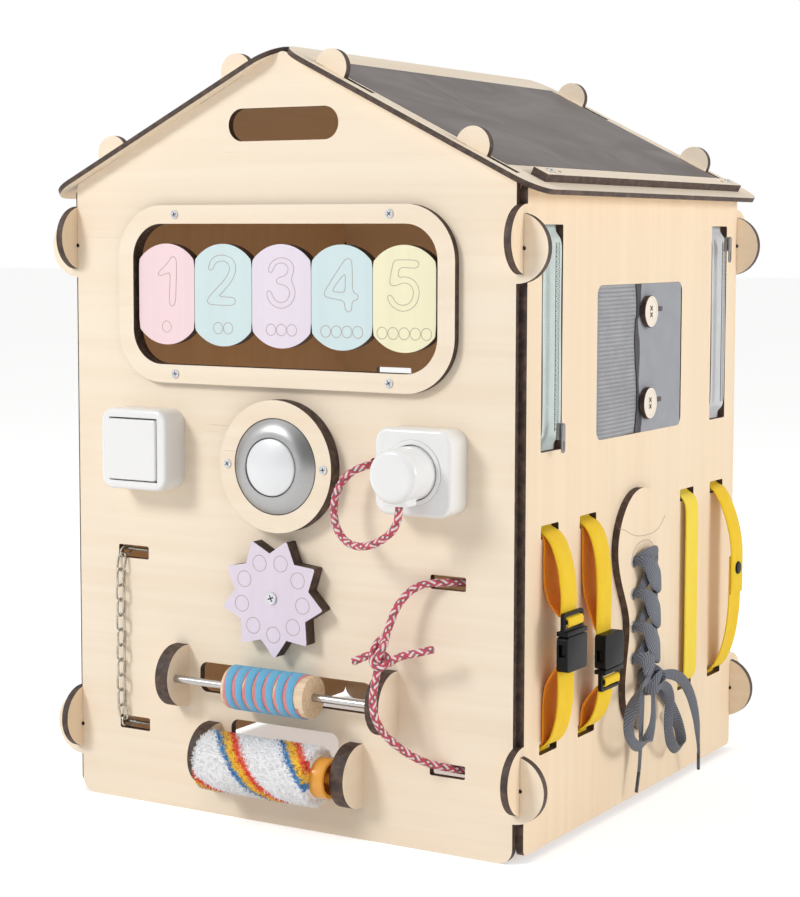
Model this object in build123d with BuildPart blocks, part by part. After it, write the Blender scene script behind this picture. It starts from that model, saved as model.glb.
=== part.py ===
"""Plywood busy house: slotted walls, hooked roof and the everyday things that its walls carry.

Millimetres. X runs along the front wall, Y into the house and Z up. The origin is at the middle of the
front wall's bottom edge, half-way through its thickness.
"""

from math import cos, radians, sin, sqrt, tan
import os

from build123d import *

# ---------------------------------------------------------------- driving dimensions: shell
ply = 6.0  # walls, frames and glued layers
house_width = 400.0  # front and back walls
side_length = 400.0  # side walls, between the front and back walls
side_lift = 6.0  # side walls hang this far above the floor
apex_height = 598.0
roof_pitch = 26.4  # degrees
bottom_corner = 12.0
shoulder_corner = 5.0
ridge_corner = 8.0
joint_clearance = 0.15  # each side of a slotted joint

ear_radius = 25.5
lower_ear_z, upper_ear_drop = 56.5, 148.0  # centres, from the floor and from the apex
ear_relief = 1.6  # corner relief at the end of an ear's slot

roof_thickness = 4.0
roof_length = 247.5  # down the slope from the ridge line
roof_overhang = 10.0  # past the front and back faces
roof_corner = 24.0
ridge_gap = 0.2
upper_hook, lower_hook_inset = 45.0, 67.5  # from the ridge line and from the lower edge
hook_radius = 14.0
hook_height = 20.0
hook_neck_ahead = 5.0  # neck, upslope of the hook's centre
hook_clearance = 0.3
hook_slot_tail = 41.0  # slot end, downslope of the hook's centre

handle_length = 100.0
handle_width = 25.0
handle_drop = 55.3  # middle of the carrying slot, below the apex

# ---------------------------------------------------------------- driving dimensions: roof fittings
board_thickness = 0.4
board_start, board_gap = 25.0, 15.0  # below the ridge line and above the ledge
ledge_setback, ledge_width, ledge_inset = 25.5, 13.0, 30.0
ledge_screw_inset = 30.0

# ---------------------------------------------------------------- driving dimensions: fasteners
screw_head_radius, screw_head_height = 3.0, 1.6
screw_shank_radius = 1.5
screw_clearance = 0.03
head_taper = 25.0  # degrees, side of a screw head

# ---------------------------------------------------------------- driving dimensions: number window
window_width, window_height, window_corner = 278.0, 110.4, 27.5
window_centre = 412.2
frame_border = 14.4
window_screw_x = 98.0
axle_radius = 1.5
axle_grip = 9.0  # axle inside the wall at each end
tile_count = 5
tile_height, tile_thickness = 79.3, 8.0
tile_gap, tile_end_gap = 0.4, 3.2  # between tiles and at the window's ends
tile_arch = 13.0  # rise of the tile's round ends
running_clearance = 0.05

# ---------------------------------------------------------------- driving dimensions: switch and socket
box_size, box_depth, box_corner = 64.0, 25.0, 11.0
switch_x, switch_z = -126.0, 290.0
rocker_width, rocker_height, rocker_thickness, rocker_raise = 46.0, 48.0, 10.0, 2.0
rocker_side_gap, rocker_end_gap = 0.5, 1.2
pocket_depth = 14.0
trunnion_radius, trunnion_length = 2.0, 2.0
socket_x, socket_z = 129.0, 287.0
socket_insert_radius = 24.0
socket_insert_raise = 0.8
well_depth = 15.0
plug_radius, plug_front = 20.0, 55.0  # front face, from the wall
plug_side_gap, plug_floor_gap = 0.6, 0.6
pin_radius, pin_length, pin_spacing = 2.4, 19.0, 19.0
chin_width, chin_thickness, chin_drop = 22.0, 18.0, 22.0
plug_cord_radius = 3.0
cord_hole_x, cord_hole_z, cord_hole_radius = 82.0, 289.0, 4.0

# ---------------------------------------------------------------- driving dimensions: push lamp and gear
lamp_z = 282.6
lamp_ring_radius, lamp_ring_thickness = 51.0, 12.0
lamp_radius, lamp_rise = 37.0, 18.5
lamp_gap = 0.3
button_radius, button_rim, button_crown = 22.5, 18.0, 21.5
button_thickness = 9.5
button_floor = 5.0  # floor of the button's well, from the wall
lamp_screw_reach = 44.0
gear_x, gear_z = -3.0, 181.0
gear_teeth, gear_tip, gear_valley, gear_thickness = 9, 47.0, 34.5, 12.0
gear_turn = -7.0  # degrees, first tooth from +X
gear_tip_round = 1.5
gear_screw_head, gear_screw_shank = 4.5, 2.0
gear_gap = 0.3

# ---------------------------------------------------------------- driving dimensions: chain
cord_slot_length, cord_slot_height, cord_slot_corner = 30.0, 10.6, 1.5
slot_x, upper_slot_z, lower_slot_z = 145.5, 204.0, 63.7  # chain on the left, rope on the right
chain_x = -155.5
chain_stand = 5.0  # chain's centre line in front of the wall
link_wire, link_width = 0.9, 7.6  # wire radius, outer width
link_slack = 0.1
link_bevel = 0.5
straight_links = 9
end_link_tilt = 15.0  # degrees, links that pass through the wall
end_link_rise = 1.2  # cross pin above the slot's middle
cross_pin_radius, cross_pin_length = 1.5, 40.0

# ---------------------------------------------------------------- driving dimensions: spool and roller
bracket_radius, bracket_reach, bracket_thickness = 24.5, 29.0, 12.0
rod_radius, rod_grip = 3.0, 8.0
spool_z, spool_reach, spool_bracket_x = 109.5, 18.0, 91.0
spool_radius, spool_left, spool_right = 16.2, -36.0, 39.0
winding_thickness, winding_left_end, winding_right_end = 1.0, 2.0, 6.0
spool_slot_width, spool_slot_height, slot_corner = 160.0, 24.0, 7.0
roller_z, roller_reach, roller_bracket_x = 50.0, 21.5, 60.0
roller_core_radius, roller_half = 15.5, 58.0
sleeve_radius, sleeve_right = 21.0, 44.0
roller_slot_width, roller_slot_height, roller_slot_z = 100.0, 25.0, 66.5

# ---------------------------------------------------------------- driving dimensions: tie rope
rope_radius = 3.0
knot_x, knot_y, knot_z = 102.0, -27.0, 150.5
knot_radius, knot_depth = 7.5, 12.0
stopper_radius, stopper_thickness = 7.5, 9.0  # knots behind the wall

# ---------------------------------------------------------------- driving dimensions: right wall
zip_slot_width, zip_slot_low = 34.0, 301.0
zip_slot_drop = 131.0  # top of the slots, below the apex
zip_offset = 160.0  # from the wall's middle
tape_width, tape_thickness, tape_stand = 30.0, 1.0, 4.0
teeth_width, teeth_thickness = 6.0, 1.4
slider_width, slider_length, slider_thickness, slider_gap = 9.0, 12.0, 2.5, 0.3
pull_width, pull_length, pull_thickness, pull_lift = 5.0, 22.0, 1.2, 1.0
slider_inset = 15.0  # from the slot's end

fabric_width, fabric_low, fabric_high, fabric_corner = 163.0, 302.0, 421.0, 8.0
fabric_shift = -1.5  # opening's middle, from the wall's middle
flap_thickness, flap_side_gap = 1.2, 0.8
flap_lap = 24.0
wooden_button_radius, wooden_button_thickness = 12.0, 4.5
wooden_button_y, wooden_button_z = 211.5, (398.5, 325.0)
thread_radius = 1.4
buttonhole_length, buttonhole_width = 26.0, 3.4

strap_width, strap_thickness = 25.0, 1.5
strap_slot_width, strap_slot_height = 29.0, 10.0
upper_strap_z, lower_strap_z = 242.0, 81.0
outer_strap, inner_strap = 161.0, 96.0  # from the wall's middle
strap_tab = 22.0  # strap glued to the inner face
slot_fold, open_fold, tight_fold = 2.0, 60.0, 1.1  # bend radii of tapes and webbing
buckle_stand = 19.0  # middle of a buckle, from the wall
buckle_width, buckle_thickness = 33.0, 9.0
female_length, male_length, prong_length = 26.0, 17.0, 16.0
buckle_wall, prong_gap = 1.8, 0.4
first_buckle_z, second_buckle_z = 167.0, 131.0  # joint line between the two halves
flat_strap_stand, snap_strap_stand = 5.0, 20.0
snap_z, snap_tail, snap_radius, snap_height = 172.0, 22.0, 6.0, 2.0

shoe_hole_radius = 3.2
eyelet_flange, eyelet_height = 4.8, 0.8
shoe_holes = ((179.0, 201.0), (179.0, 175.0), (179.0, 148.5), (179.0, 123.0),
              (220.0, 203.0), (220.0, 172.5), (220.0, 143.5), (220.0, 114.5))
lace_radius, bow_radius = 2.5, 2.0
lace_knot, lace_knot_width, lace_knot_height, lace_knot_depth = (197.0, 103.0), 22.0, 16.0, 12.0
lace_knot_entry = (190.0, 106.0)

# ---------------------------------------------------------------- derived places
front_face, front_inner = -ply / 2, ply / 2
back_inner = front_inner + side_length
back_face = back_inner + ply
wall_middle = front_inner + side_length / 2
side_inner = house_width / 2
side_face = side_inner + ply
slope = radians(roof_pitch)
eave_height = apex_height - side_inner * tan(slope)
side_top = apex_height - side_face * tan(slope) - hook_clearance
handle_height = apex_height - handle_drop
zip_slot_high = apex_height - zip_slot_drop
ear_heights = (lower_ear_z, apex_height - upper_ear_drop)
hook_places = (upper_hook, roof_length - lower_hook_inset)  # down the slope
ledge_start = roof_length - ledge_setback
board_end = ledge_start - board_gap
tile_width = (window_width - 2 * tile_end_gap - (tile_count - 1) * tile_gap) / tile_count
near_slider_z, far_slider_z = zip_slot_low + slider_inset, zip_slot_high - slider_inset

front_plane = Plane.XZ.offset(-front_face)  # outer face of the front wall, facing out
right_plane = Plane.YZ.offset(side_face)  # outer face of the right wall, facing out
right_slope = Plane(origin=(0, 0, apex_height), x_dir=(cos(slope), 0, -sin(slope)),
                    z_dir=(sin(slope), 0, cos(slope)))  # x down the slope, y into the house

os.makedirs("parts", exist_ok=True)


def save(piece, name):
    """Labels a finished sub-part and writes it as its own STEP file."""
    piece.part.label = name
    export_step(piece.part, f"parts/{name}.step")


# ================================================================ shell: walls
neck_top = roof_thickness + hook_clearance
head_start = hook_height - hook_radius
with BuildSketch() as roof_hook:  # neck with a half-round head that overhangs upslope
    with BuildLine():
        Polyline((hook_radius, head_start), (hook_radius, -ply), (-hook_neck_ahead, -ply),
                 (-hook_neck_ahead, neck_top), (-hook_radius, neck_top), (-hook_radius, head_start))
        ThreePointArc((-hook_radius, head_start), (0, hook_height), (hook_radius, head_start))
    make_face()


def roof_hooks():
    """Adds the hooks of both slopes to a gable's sketch."""
    with Locations(Location((0, apex_height), -roof_pitch)):
        with Locations(*[(place, 0) for place in hook_places]):
            add(roof_hook.sketch)
    mirror(about=Plane.YZ)


def ear_slots(edge_places, heights, upward):
    """Cuts the slots of a wall's ears, with relieved corners, from each ear's middle to its rim."""
    direction = 1 if upward else -1
    slot = ply + 2 * joint_clearance
    for place in edge_places:
        for height in heights:
            with Locations((place, height + direction * ear_radius / 2 + direction)):
                Rectangle(slot, ear_radius + 2, mode=Mode.SUBTRACT)
            with Locations((place - slot / 2, height), (place + slot / 2, height)):
                Circle(ear_relief, mode=Mode.SUBTRACT)


def gable_wall():
    """Outline of the front or back wall with ears, roof hooks and the carrying slot."""
    with BuildLine() as house:
        FilletPolyline((-side_inner, 0), (side_inner, 0), (side_inner, eave_height), (0, apex_height),
                       (-side_inner, eave_height), close=True,
                       radius=[bottom_corner, bottom_corner, shoulder_corner, ridge_corner, shoulder_corner])
    make_face(house.edges())
    roof_hooks()
    with Locations(*[(side * side_inner, height) for side in (-1, 1) for height in ear_heights]):
        Circle(ear_radius)
    crossing = side_inner + ply / 2
    ear_slots((-crossing, crossing), ear_heights, upward=True)
    with Locations((0, handle_height)):
        SlotOverall(handle_length, handle_width, mode=Mode.SUBTRACT)


def side_wall():
    """Outline of a side wall, in (y, z): its ears hook over the ears of the front and back walls."""
    with Locations((wall_middle, (side_lift + side_top) / 2)):
        RectangleRounded(side_length, side_top - side_lift, shoulder_corner)
    with Locations(*[(edge, height + side_lift) for edge in (front_inner, back_inner) for height in ear_heights]):
        Circle(ear_radius)
    ear_slots((0, back_inner + ply / 2), ear_heights, upward=False)


window_screw_places = [(side * window_screw_x, window_centre + up * (window_height + frame_border) / 2)
                       for side in (-1, 1) for up in (-1, 1)]
lamp_screw_places = [(-lamp_screw_reach, lamp_z), (lamp_screw_reach, lamp_z)]
screw_hole_radius = screw_shank_radius + screw_clearance
axle_length = window_width + 2 * axle_grip
socket_hole_radius = socket_insert_radius + screw_clearance

with BuildPart() as front_wall:
    with BuildSketch(front_plane.offset(-ply)):
        gable_wall()
        with Locations((0, window_centre)):
            RectangleRounded(window_width, window_height, window_corner, mode=Mode.SUBTRACT)
        with Locations(*[(side * slot_x, height) for side in (-1, 1) for height in (lower_slot_z, upper_slot_z)]):
            RectangleRounded(cord_slot_length, cord_slot_height, cord_slot_corner, mode=Mode.SUBTRACT)
        with Locations((0, spool_z)):
            RectangleRounded(spool_slot_width, spool_slot_height, slot_corner, mode=Mode.SUBTRACT)
        with Locations((0, roller_slot_z)):
            RectangleRounded(roller_slot_width, roller_slot_height, slot_corner, mode=Mode.SUBTRACT)
        with Locations((cord_hole_x, cord_hole_z)):
            Circle(cord_hole_radius, mode=Mode.SUBTRACT)
        with Locations((socket_x, socket_z)):
            Circle(socket_hole_radius, mode=Mode.SUBTRACT)
        with Locations(*window_screw_places, *lamp_screw_places):
            Circle(screw_hole_radius, mode=Mode.SUBTRACT)
        with Locations((gear_x, gear_z)):
            Circle(gear_screw_shank + screw_clearance, mode=Mode.SUBTRACT)
    extrude(amount=ply)
    # Groove for the number tiles' axle, half-way into the front face and closed by the window frame.
    with BuildSketch(front_plane):
        with Locations((0, window_centre)):
            Rectangle(axle_length + screw_clearance, 2 * (axle_radius + screw_clearance))
    extrude(amount=-2 * axle_radius, mode=Mode.SUBTRACT)
save(front_wall, "front_wall")

back_slot_x, back_slot_z, back_slot_length, back_slot_height = -144.5, 325.0, 39.0, 12.0
with BuildPart() as back_wall:
    with BuildSketch(Plane.XZ.offset(-back_face)):
        gable_wall()
        with Locations((back_slot_x, back_slot_z)):
            RectangleRounded(back_slot_length, back_slot_height, cord_slot_corner, mode=Mode.SUBTRACT)
    extrude(amount=ply)
save(back_wall, "back_wall")

with BuildPart() as left_wall:
    with BuildSketch(Plane.YZ.offset(-side_face)):
        side_wall()
    extrude(amount=ply)
save(left_wall, "left_wall")

strap_places = [wall_middle + offset for offset in (-outer_strap, -inner_strap, inner_strap, outer_strap)]
fabric_middle = wall_middle + fabric_shift
with BuildPart() as right_wall:
    with BuildSketch(Plane.YZ.offset(side_inner)):
        side_wall()
        with Locations(*[(wall_middle + side * zip_offset, (zip_slot_low + zip_slot_high) / 2) for side in (-1, 1)]):
            RectangleRounded(zip_slot_width, zip_slot_high - zip_slot_low, cord_slot_corner, mode=Mode.SUBTRACT)
        with Locations((fabric_middle, (fabric_low + fabric_high) / 2)):
            RectangleRounded(fabric_width, fabric_high - fabric_low, fabric_corner, mode=Mode.SUBTRACT)
        with Locations(*[(place, height) for place in strap_places for height in (lower_strap_z, upper_strap_z)]):
            RectangleRounded(strap_slot_width, strap_slot_height, cord_slot_corner, mode=Mode.SUBTRACT)
    extrude(amount=ply)
save(right_wall, "right_wall")

# ================================================================ shell: roof
with BuildPart() as roof_right:
    with BuildSketch(right_slope):
        with Locations(((ridge_gap + roof_length) / 2, wall_middle)):
            RectangleRounded(roof_length - ridge_gap, side_length + 2 * (ply + roof_overhang), roof_corner)
        slot_start = -hook_neck_ahead - hook_clearance
        for wall_y in (0, back_inner + ply / 2):
            with Locations(*[(place + (slot_start + hook_slot_tail) / 2, wall_y) for place in hook_places]):
                Rectangle(hook_slot_tail - slot_start, ply + 4 * joint_clearance, mode=Mode.SUBTRACT)
    extrude(amount=roof_thickness)
save(roof_right, "roof_right")

with BuildPart() as roof_left:
    mirror(roof_right.part, about=Plane.YZ)
save(roof_left, "roof_left")

roof_top = right_slope.offset(roof_thickness)
with BuildPart() as chalkboard:
    with BuildSketch(roof_top):
        with Locations(((board_start + board_end) / 2, wall_middle)):
            Rectangle(board_end - board_start, side_length - 4 * joint_clearance - ply)
    extrude(amount=board_thickness)
save(chalkboard, "chalkboard")

ledge_middle = ledge_start + ledge_width / 2
ledge_length = side_length + 2 * (ply + roof_overhang) - 2 * ledge_inset
ledge_screw_places = [(ledge_middle, wall_middle + side * (ledge_length / 2 - ledge_screw_inset)) for side in (-1, 1)]
with BuildPart() as chalk_ledge:
    with BuildSketch(roof_top):
        with Locations((ledge_middle, wall_middle)):
            Rectangle(ledge_width, ledge_length)
        with Locations(*ledge_screw_places):
            Circle(screw_hole_radius, mode=Mode.SUBTRACT)
    extrude(amount=ply)
save(chalk_ledge, "chalk_ledge")


# ================================================================ fasteners
def screws(face, places, shank_length, head=screw_head_radius, shank=screw_shank_radius):
    """Pan-head screws standing on a face: a tapered head above it and a plain shank below."""
    with BuildSketch(face) as heads:
        with Locations(*places):
            Circle(head)
    extrude(heads.sketch, amount=screw_head_height, taper=head_taper)
    with BuildSketch(face) as shanks:
        with Locations(*places):
            Circle(shank)
    extrude(shanks.sketch, amount=-shank_length)


with BuildPart() as panel_screws:
    screws(roof_top.offset(ply), ledge_screw_places, ply)
    screws(front_plane.offset(ply), window_screw_places, 2 * ply)
    screws(front_plane.offset(lamp_ring_thickness), lamp_screw_places, lamp_ring_thickness + ply)
save(panel_screws, "panel_screws")

with BuildPart() as gear_screw:
    screws(front_plane.offset(gear_gap + gear_thickness + gear_gap), [(gear_x, gear_z)],
           2 * gear_gap + gear_thickness + ply, gear_screw_head, gear_screw_shank)
save(gear_screw, "gear_screw")

# ================================================================ number window
with BuildPart() as window_frame:
    with BuildSketch(front_plane):
        with Locations((0, window_centre)):
            RectangleRounded(window_width + 2 * frame_border, window_height + 2 * frame_border,
                             window_corner + frame_border)
            RectangleRounded(window_width, window_height, window_corner, mode=Mode.SUBTRACT)
        with Locations(*window_screw_places):
            Circle(screw_hole_radius, mode=Mode.SUBTRACT)
    extrude(amount=ply)
save(window_frame, "window_frame")

axle_y = front_face + axle_radius
with BuildPart() as number_axle:
    with BuildSketch(Plane.YZ.offset(-axle_length / 2)):
        with Locations((axle_y, window_centre)):
            Circle(axle_radius)
    extrude(amount=axle_length)
save(number_axle, "number_axle")

tile_pitch = tile_width + tile_gap
for number in range(1, tile_count + 1):
    tile_x = (number - (tile_count + 1) / 2) * tile_pitch
    with BuildPart() as number_tile:
        with BuildSketch(Plane.XZ.offset(-axle_y - tile_thickness / 2)):
            with BuildLine():
                left, right = tile_x - tile_width / 2, tile_x + tile_width / 2
                low = window_centre - tile_height / 2
                high = window_centre + tile_height / 2
                Line((left, low + tile_arch), (left, high - tile_arch))
                ThreePointArc((left, high - tile_arch), (tile_x, high), (right, high - tile_arch))
                Line((right, high - tile_arch), (right, low + tile_arch))
                ThreePointArc((right, low + tile_arch), (tile_x, low), (left, low + tile_arch))
            make_face()
        extrude(amount=tile_thickness)
        with BuildSketch(Plane.YZ.offset(left)):
            with Locations((axle_y, window_centre)):
                Circle(axle_radius + running_clearance)
        extrude(amount=tile_width, mode=Mode.SUBTRACT)
    save(number_tile, f"number_tile_{number}")

# ================================================================ light switch
rocker_front = front_face - box_depth - rocker_raise
rocker_axis_y = rocker_front + rocker_thickness - trunnion_radius
trunnion_reach = rocker_width / 2 + trunnion_length
with BuildPart() as switch_box:
    with BuildSketch(front_plane):
        with Locations((switch_x, switch_z)):
            RectangleRounded(box_size, box_size, box_corner)
    extrude(amount=box_depth)
    fillet(faces().sort_by(Axis.Y)[0].edges(), radius=3)
    with BuildSketch(front_plane.offset(box_depth)):
        with Locations((switch_x, switch_z)):
            Rectangle(rocker_width + 2 * rocker_side_gap, rocker_height + 2 * rocker_end_gap)
    extrude(amount=-pocket_depth, mode=Mode.SUBTRACT)
    with BuildSketch(Plane.YZ.offset(switch_x - trunnion_reach - rocker_side_gap)):
        with Locations((rocker_axis_y, switch_z)):
            Circle(trunnion_radius + running_clearance)
    extrude(amount=2 * (trunnion_reach + rocker_side_gap), mode=Mode.SUBTRACT)
save(switch_box, "switch_box")

with BuildPart() as switch_rocker:
    with BuildSketch(Plane.XZ.offset(-rocker_front - rocker_thickness)):
        with Locations((switch_x, switch_z)):
            RectangleRounded(rocker_width, rocker_height, 2.5)
    extrude(amount=rocker_thickness)
    fillet(faces().sort_by(Axis.Y)[0].edges(), radius=1)
    with BuildSketch(Plane.YZ.offset(switch_x - trunnion_reach)):
        with Locations((rocker_axis_y, switch_z)):
            Circle(trunnion_radius)
    extrude(amount=2 * trunnion_reach)
save(switch_rocker, "switch_rocker")

# ================================================================ socket and plug
well_floor = box_depth + socket_insert_raise - well_depth  # from the wall's face
socket_back = well_floor - pin_length - 2  # rear of the insert, behind the wall's face
pin_places = [(socket_x - pin_spacing / 2, socket_z), (socket_x + pin_spacing / 2, socket_z)]
with BuildPart() as socket_box:
    with BuildSketch(front_plane):
        with Locations((socket_x, socket_z)):
            RectangleRounded(box_size, box_size, box_corner)
    extrude(amount=box_depth)
    fillet(faces().sort_by(Axis.Y)[0].edges(), radius=3)
    with BuildSketch(front_plane):
        with Locations((socket_x, socket_z)):
            Circle(socket_hole_radius)
    extrude(amount=box_depth, mode=Mode.SUBTRACT)
save(socket_box, "socket_box")

with BuildPart() as socket_insert:
    with BuildSketch(front_plane.offset(socket_back)):
        with Locations((socket_x, socket_z)):
            Circle(socket_insert_radius)
    extrude(amount=box_depth + socket_insert_raise - socket_back)
    with BuildSketch(front_plane.offset(well_floor)):
        with Locations((socket_x, socket_z)):
            Circle(plug_radius + plug_side_gap)
    extrude(amount=well_depth, mode=Mode.SUBTRACT)
    with BuildSketch(front_plane.offset(well_floor)):
        with Locations(*pin_places):
            Circle(pin_radius + running_clearance)
    extrude(amount=-pin_length - plug_floor_gap, mode=Mode.SUBTRACT)
save(socket_insert, "socket_insert")

plug_base = well_floor + plug_floor_gap
chin_bottom = socket_z - chin_drop
with BuildPart() as plug:
    with BuildSketch(front_plane.offset(plug_base)):
        with Locations((socket_x, socket_z)):
            Circle(plug_radius)
    extrude(amount=plug_front - plug_base)
    fillet(faces().sort_by(Axis.Y)[0].edges(), radius=5)
    with BuildSketch(Plane.XY.offset(chin_bottom)):
        with Locations((socket_x, front_face - plug_front + 4 + chin_thickness / 2)):
            RectangleRounded(chin_width, chin_thickness, 6)
    extrude(amount=chin_drop)
    with BuildSketch(front_plane.offset(plug_base)):
        with Locations(*pin_places):
            Circle(pin_radius + screw_clearance)
    extrude(amount=rod_grip, mode=Mode.SUBTRACT)
save(plug, "plug")

with BuildPart() as plug_pins:
    with BuildSketch(front_plane.offset(plug_base + rod_grip)):
        with Locations(*pin_places):
            Circle(pin_radius)
    extrude(amount=-rod_grip - pin_length)
save(plug_pins, "plug_pins")

# ================================================================ push lamp
with BuildPart() as lamp_ring:
    with BuildSketch(front_plane):
        with Locations((0, lamp_z)):
            Circle(lamp_ring_radius)
            Circle(lamp_radius + lamp_gap, mode=Mode.SUBTRACT)
        with Locations(*lamp_screw_places):
            Circle(screw_hole_radius, mode=Mode.SUBTRACT)
    extrude(amount=lamp_ring_thickness)
save(lamp_ring, "lamp_ring")

lamp_axis = Axis((0, 0, lamp_z), (0, 1, 0))
well_radius = button_radius + lamp_gap
with BuildPart() as lamp_bowl:
    with BuildSketch(Plane.YZ):
        with BuildLine():
            rim = (front_face - lamp_ring_thickness, lamp_z + lamp_radius)
            lip = (front_face - lamp_rise, lamp_z + well_radius)
            Polyline(rim, (front_face, lamp_z + lamp_radius), (front_face, lamp_z),
                     (front_face - button_floor, lamp_z), (front_face - button_floor, lamp_z + well_radius), lip)
            RadiusArc(lip, rim, 2 * lamp_radius / 3)
        make_face()
    revolve(axis=lamp_axis)
save(lamp_bowl, "lamp_bowl")

with BuildPart() as lamp_button:
    with BuildSketch(Plane.YZ):
        with BuildLine():
            rim = (front_face - button_rim, lamp_z + button_radius)
            crown = (front_face - button_crown, lamp_z)
            back = front_face - button_rim + button_thickness
            Polyline(rim, (back, lamp_z + button_radius), (back, lamp_z), crown)
            crown_radius = (button_radius**2 + (button_crown - button_rim) ** 2) / (2 * (button_crown - button_rim))
            RadiusArc(crown, rim, crown_radius)
        make_face()
    revolve(axis=lamp_axis)
save(lamp_button, "lamp_button")

# ================================================================ star gear
half_tooth = radians(180 / gear_teeth)
with BuildSketch() as star:
    Polygon(*[((gear_valley if turn % 2 else gear_tip) * cos(turn * half_tooth),
               (gear_valley if turn % 2 else gear_tip) * sin(turn * half_tooth))
              for turn in range(2 * gear_teeth)], align=None)
    fillet([corner for corner in vertices() if Vector(corner).length > (gear_valley + gear_tip) / 2],
           radius=gear_tip_round)
    Circle(gear_screw_shank + running_clearance, mode=Mode.SUBTRACT)

with BuildPart() as star_gear:
    with BuildSketch(front_plane.offset(gear_gap)):
        with Locations(Location((gear_x, gear_z), gear_turn)):
            add(star.sketch)
    extrude(amount=gear_thickness)
save(star_gear, "star_gear")


# ================================================================ chain
def chain_link(start, end, edge_on):
    """One link between two touching points in the chain's plane: a long ring with bevelled edges."""
    along = (end - start).normalized()
    across = Vector(1, 0, 0).cross(along) if edge_on else Vector(1, 0, 0)
    length = (end - start).length + link_slack + 4 * link_wire
    with BuildPart(mode=Mode.PRIVATE) as link:
        with BuildSketch(Plane.XY.offset(-link_wire)):
            SlotOverall(length, link_width)
            SlotOverall(length - 4 * link_wire, link_width - 4 * link_wire, mode=Mode.SUBTRACT)
        extrude(amount=2 * link_wire)
        chamfer(link.faces().filter_by(Axis.Z).edges(), length=link_bevel)
    link_plane = Plane(origin=(start + end) * 0.5 + Vector(chain_x, 0, 0), x_dir=along, z_dir=across.cross(along))
    return link_plane.location * link.part


# The last link of each end passes through the wall at a tilt and holds a cross pin behind it. The next
# one leans back to the chain's line, and the straight links share what is left.
tilt = radians(end_link_tilt)
chain_y = front_face - chain_stand
pin_y = front_inner + cross_pin_radius
upper_pin_z = upper_slot_z + end_link_rise
lower_pin_z = lower_slot_z - end_link_rise

joint_reach = link_width / 2 - 2 * link_wire - link_slack / 2  # round end's centre to the touching point
link_pitch = 2 * link_width
for _ in range(60):
    inner = link_pitch - cross_pin_radius - joint_reach  # cross pin to the end link's outer round end
    joint_y = pin_y - inner * cos(tilt)
    upper_joint = upper_pin_z - inner * sin(tilt)
    lower_joint = lower_pin_z + inner * sin(tilt)
    lean = sqrt((link_pitch + 2 * joint_reach) ** 2 - (chain_y - joint_y) ** 2)
    link_pitch = (upper_joint - lower_joint - 2 * lean + 2 * joint_reach) / straight_links

chain_links = []
for joint_z, outward in ((upper_joint, 1), (lower_joint, -1)):
    joint = Vector(0, joint_y, joint_z)
    inward = Vector(0, cos(tilt), outward * sin(tilt))
    straight_joint = Vector(0, chain_y, joint_z - outward * lean)
    leaning = (joint - straight_joint).normalized() * joint_reach
    start = joint - inward * joint_reach
    chain_links.append(chain_link(start, start + inward * link_pitch, edge_on=True))
    chain_links.append(chain_link(straight_joint + leaning, joint - leaning, edge_on=False))
for number in range(straight_links):
    link_top = Vector(0, chain_y, upper_joint - lean + joint_reach - number * link_pitch)
    chain_links.append(chain_link(link_top, link_top - Vector(0, 0, link_pitch), edge_on=number % 2 == 0))

with BuildPart() as chain:
    add(chain_links)
    # Cross pins behind the wall, one through the last link at each end.
    with BuildSketch(Plane.YZ.offset(chain_x - cross_pin_length / 2)):
        with Locations((pin_y, upper_pin_z), (pin_y, lower_pin_z)):
            Circle(cross_pin_radius)
    extrude(amount=cross_pin_length)
save(chain, "chain")


# ================================================================ spool and roller
def brackets(name, inner_x, height, rod_y):
    """Pair of D-shaped blocks on the front wall, each with a blind hole for the rod's end."""
    with BuildPart() as pair:
        for side in (-1, 1):
            with BuildSketch(Plane.YZ.offset(side * inner_x)) as block:
                with Locations((front_face - bracket_reach + bracket_radius, height)):
                    Circle(bracket_radius)
                with Locations((front_face - (bracket_reach - bracket_radius) / 2, height)):
                    Rectangle(bracket_reach - bracket_radius, 2 * bracket_radius)
                with Locations((front_face, height)):
                    Rectangle(bracket_radius * 2, bracket_radius * 2, align=(Align.MIN, Align.CENTER),
                              mode=Mode.SUBTRACT)
            extrude(block.sketch, amount=side * bracket_thickness)
            with BuildSketch(Plane.YZ.offset(side * inner_x)) as hole:
                with Locations((rod_y, height)):
                    Circle(rod_radius + screw_clearance)
            extrude(hole.sketch, amount=side * rod_grip, mode=Mode.SUBTRACT)
    save(pair, name)


def turned(name, start, end, y, z, outer, inner=0.0):
    """Round bar or tube along X."""
    with BuildPart() as bar:
        with BuildSketch(Plane.YZ.offset(start)):
            with Locations((y, z)):
                Circle(outer)
                if inner:
                    Circle(inner, mode=Mode.SUBTRACT)
        extrude(amount=end - start)
    save(bar, name)


spool_y, roller_y = front_face - spool_reach, front_face - roller_reach
rod_bore = rod_radius + running_clearance
brackets("spool_brackets", spool_bracket_x, spool_z, spool_y)
brackets("roller_brackets", roller_bracket_x, roller_z, roller_y)
spool_rod_end = spool_bracket_x + rod_grip
turned("spool_rod", -spool_rod_end, spool_rod_end, spool_y, spool_z, rod_radius)
turned("spool", spool_left, spool_right, spool_y, spool_z, spool_radius, rod_bore)
turned("spool_winding", spool_left + winding_left_end, spool_right - winding_right_end, spool_y, spool_z,
       spool_radius + winding_thickness, spool_radius)
roller_rod_end = roller_bracket_x + rod_grip
turned("roller_rod", -roller_rod_end, roller_rod_end, roller_y, roller_z, rod_radius)
turned("roller_core", -roller_half, roller_half, roller_y, roller_z, roller_core_radius, rod_bore)
turned("roller_sleeve", -roller_half, sleeve_right, roller_y, roller_z, sleeve_radius, roller_core_radius)


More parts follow.
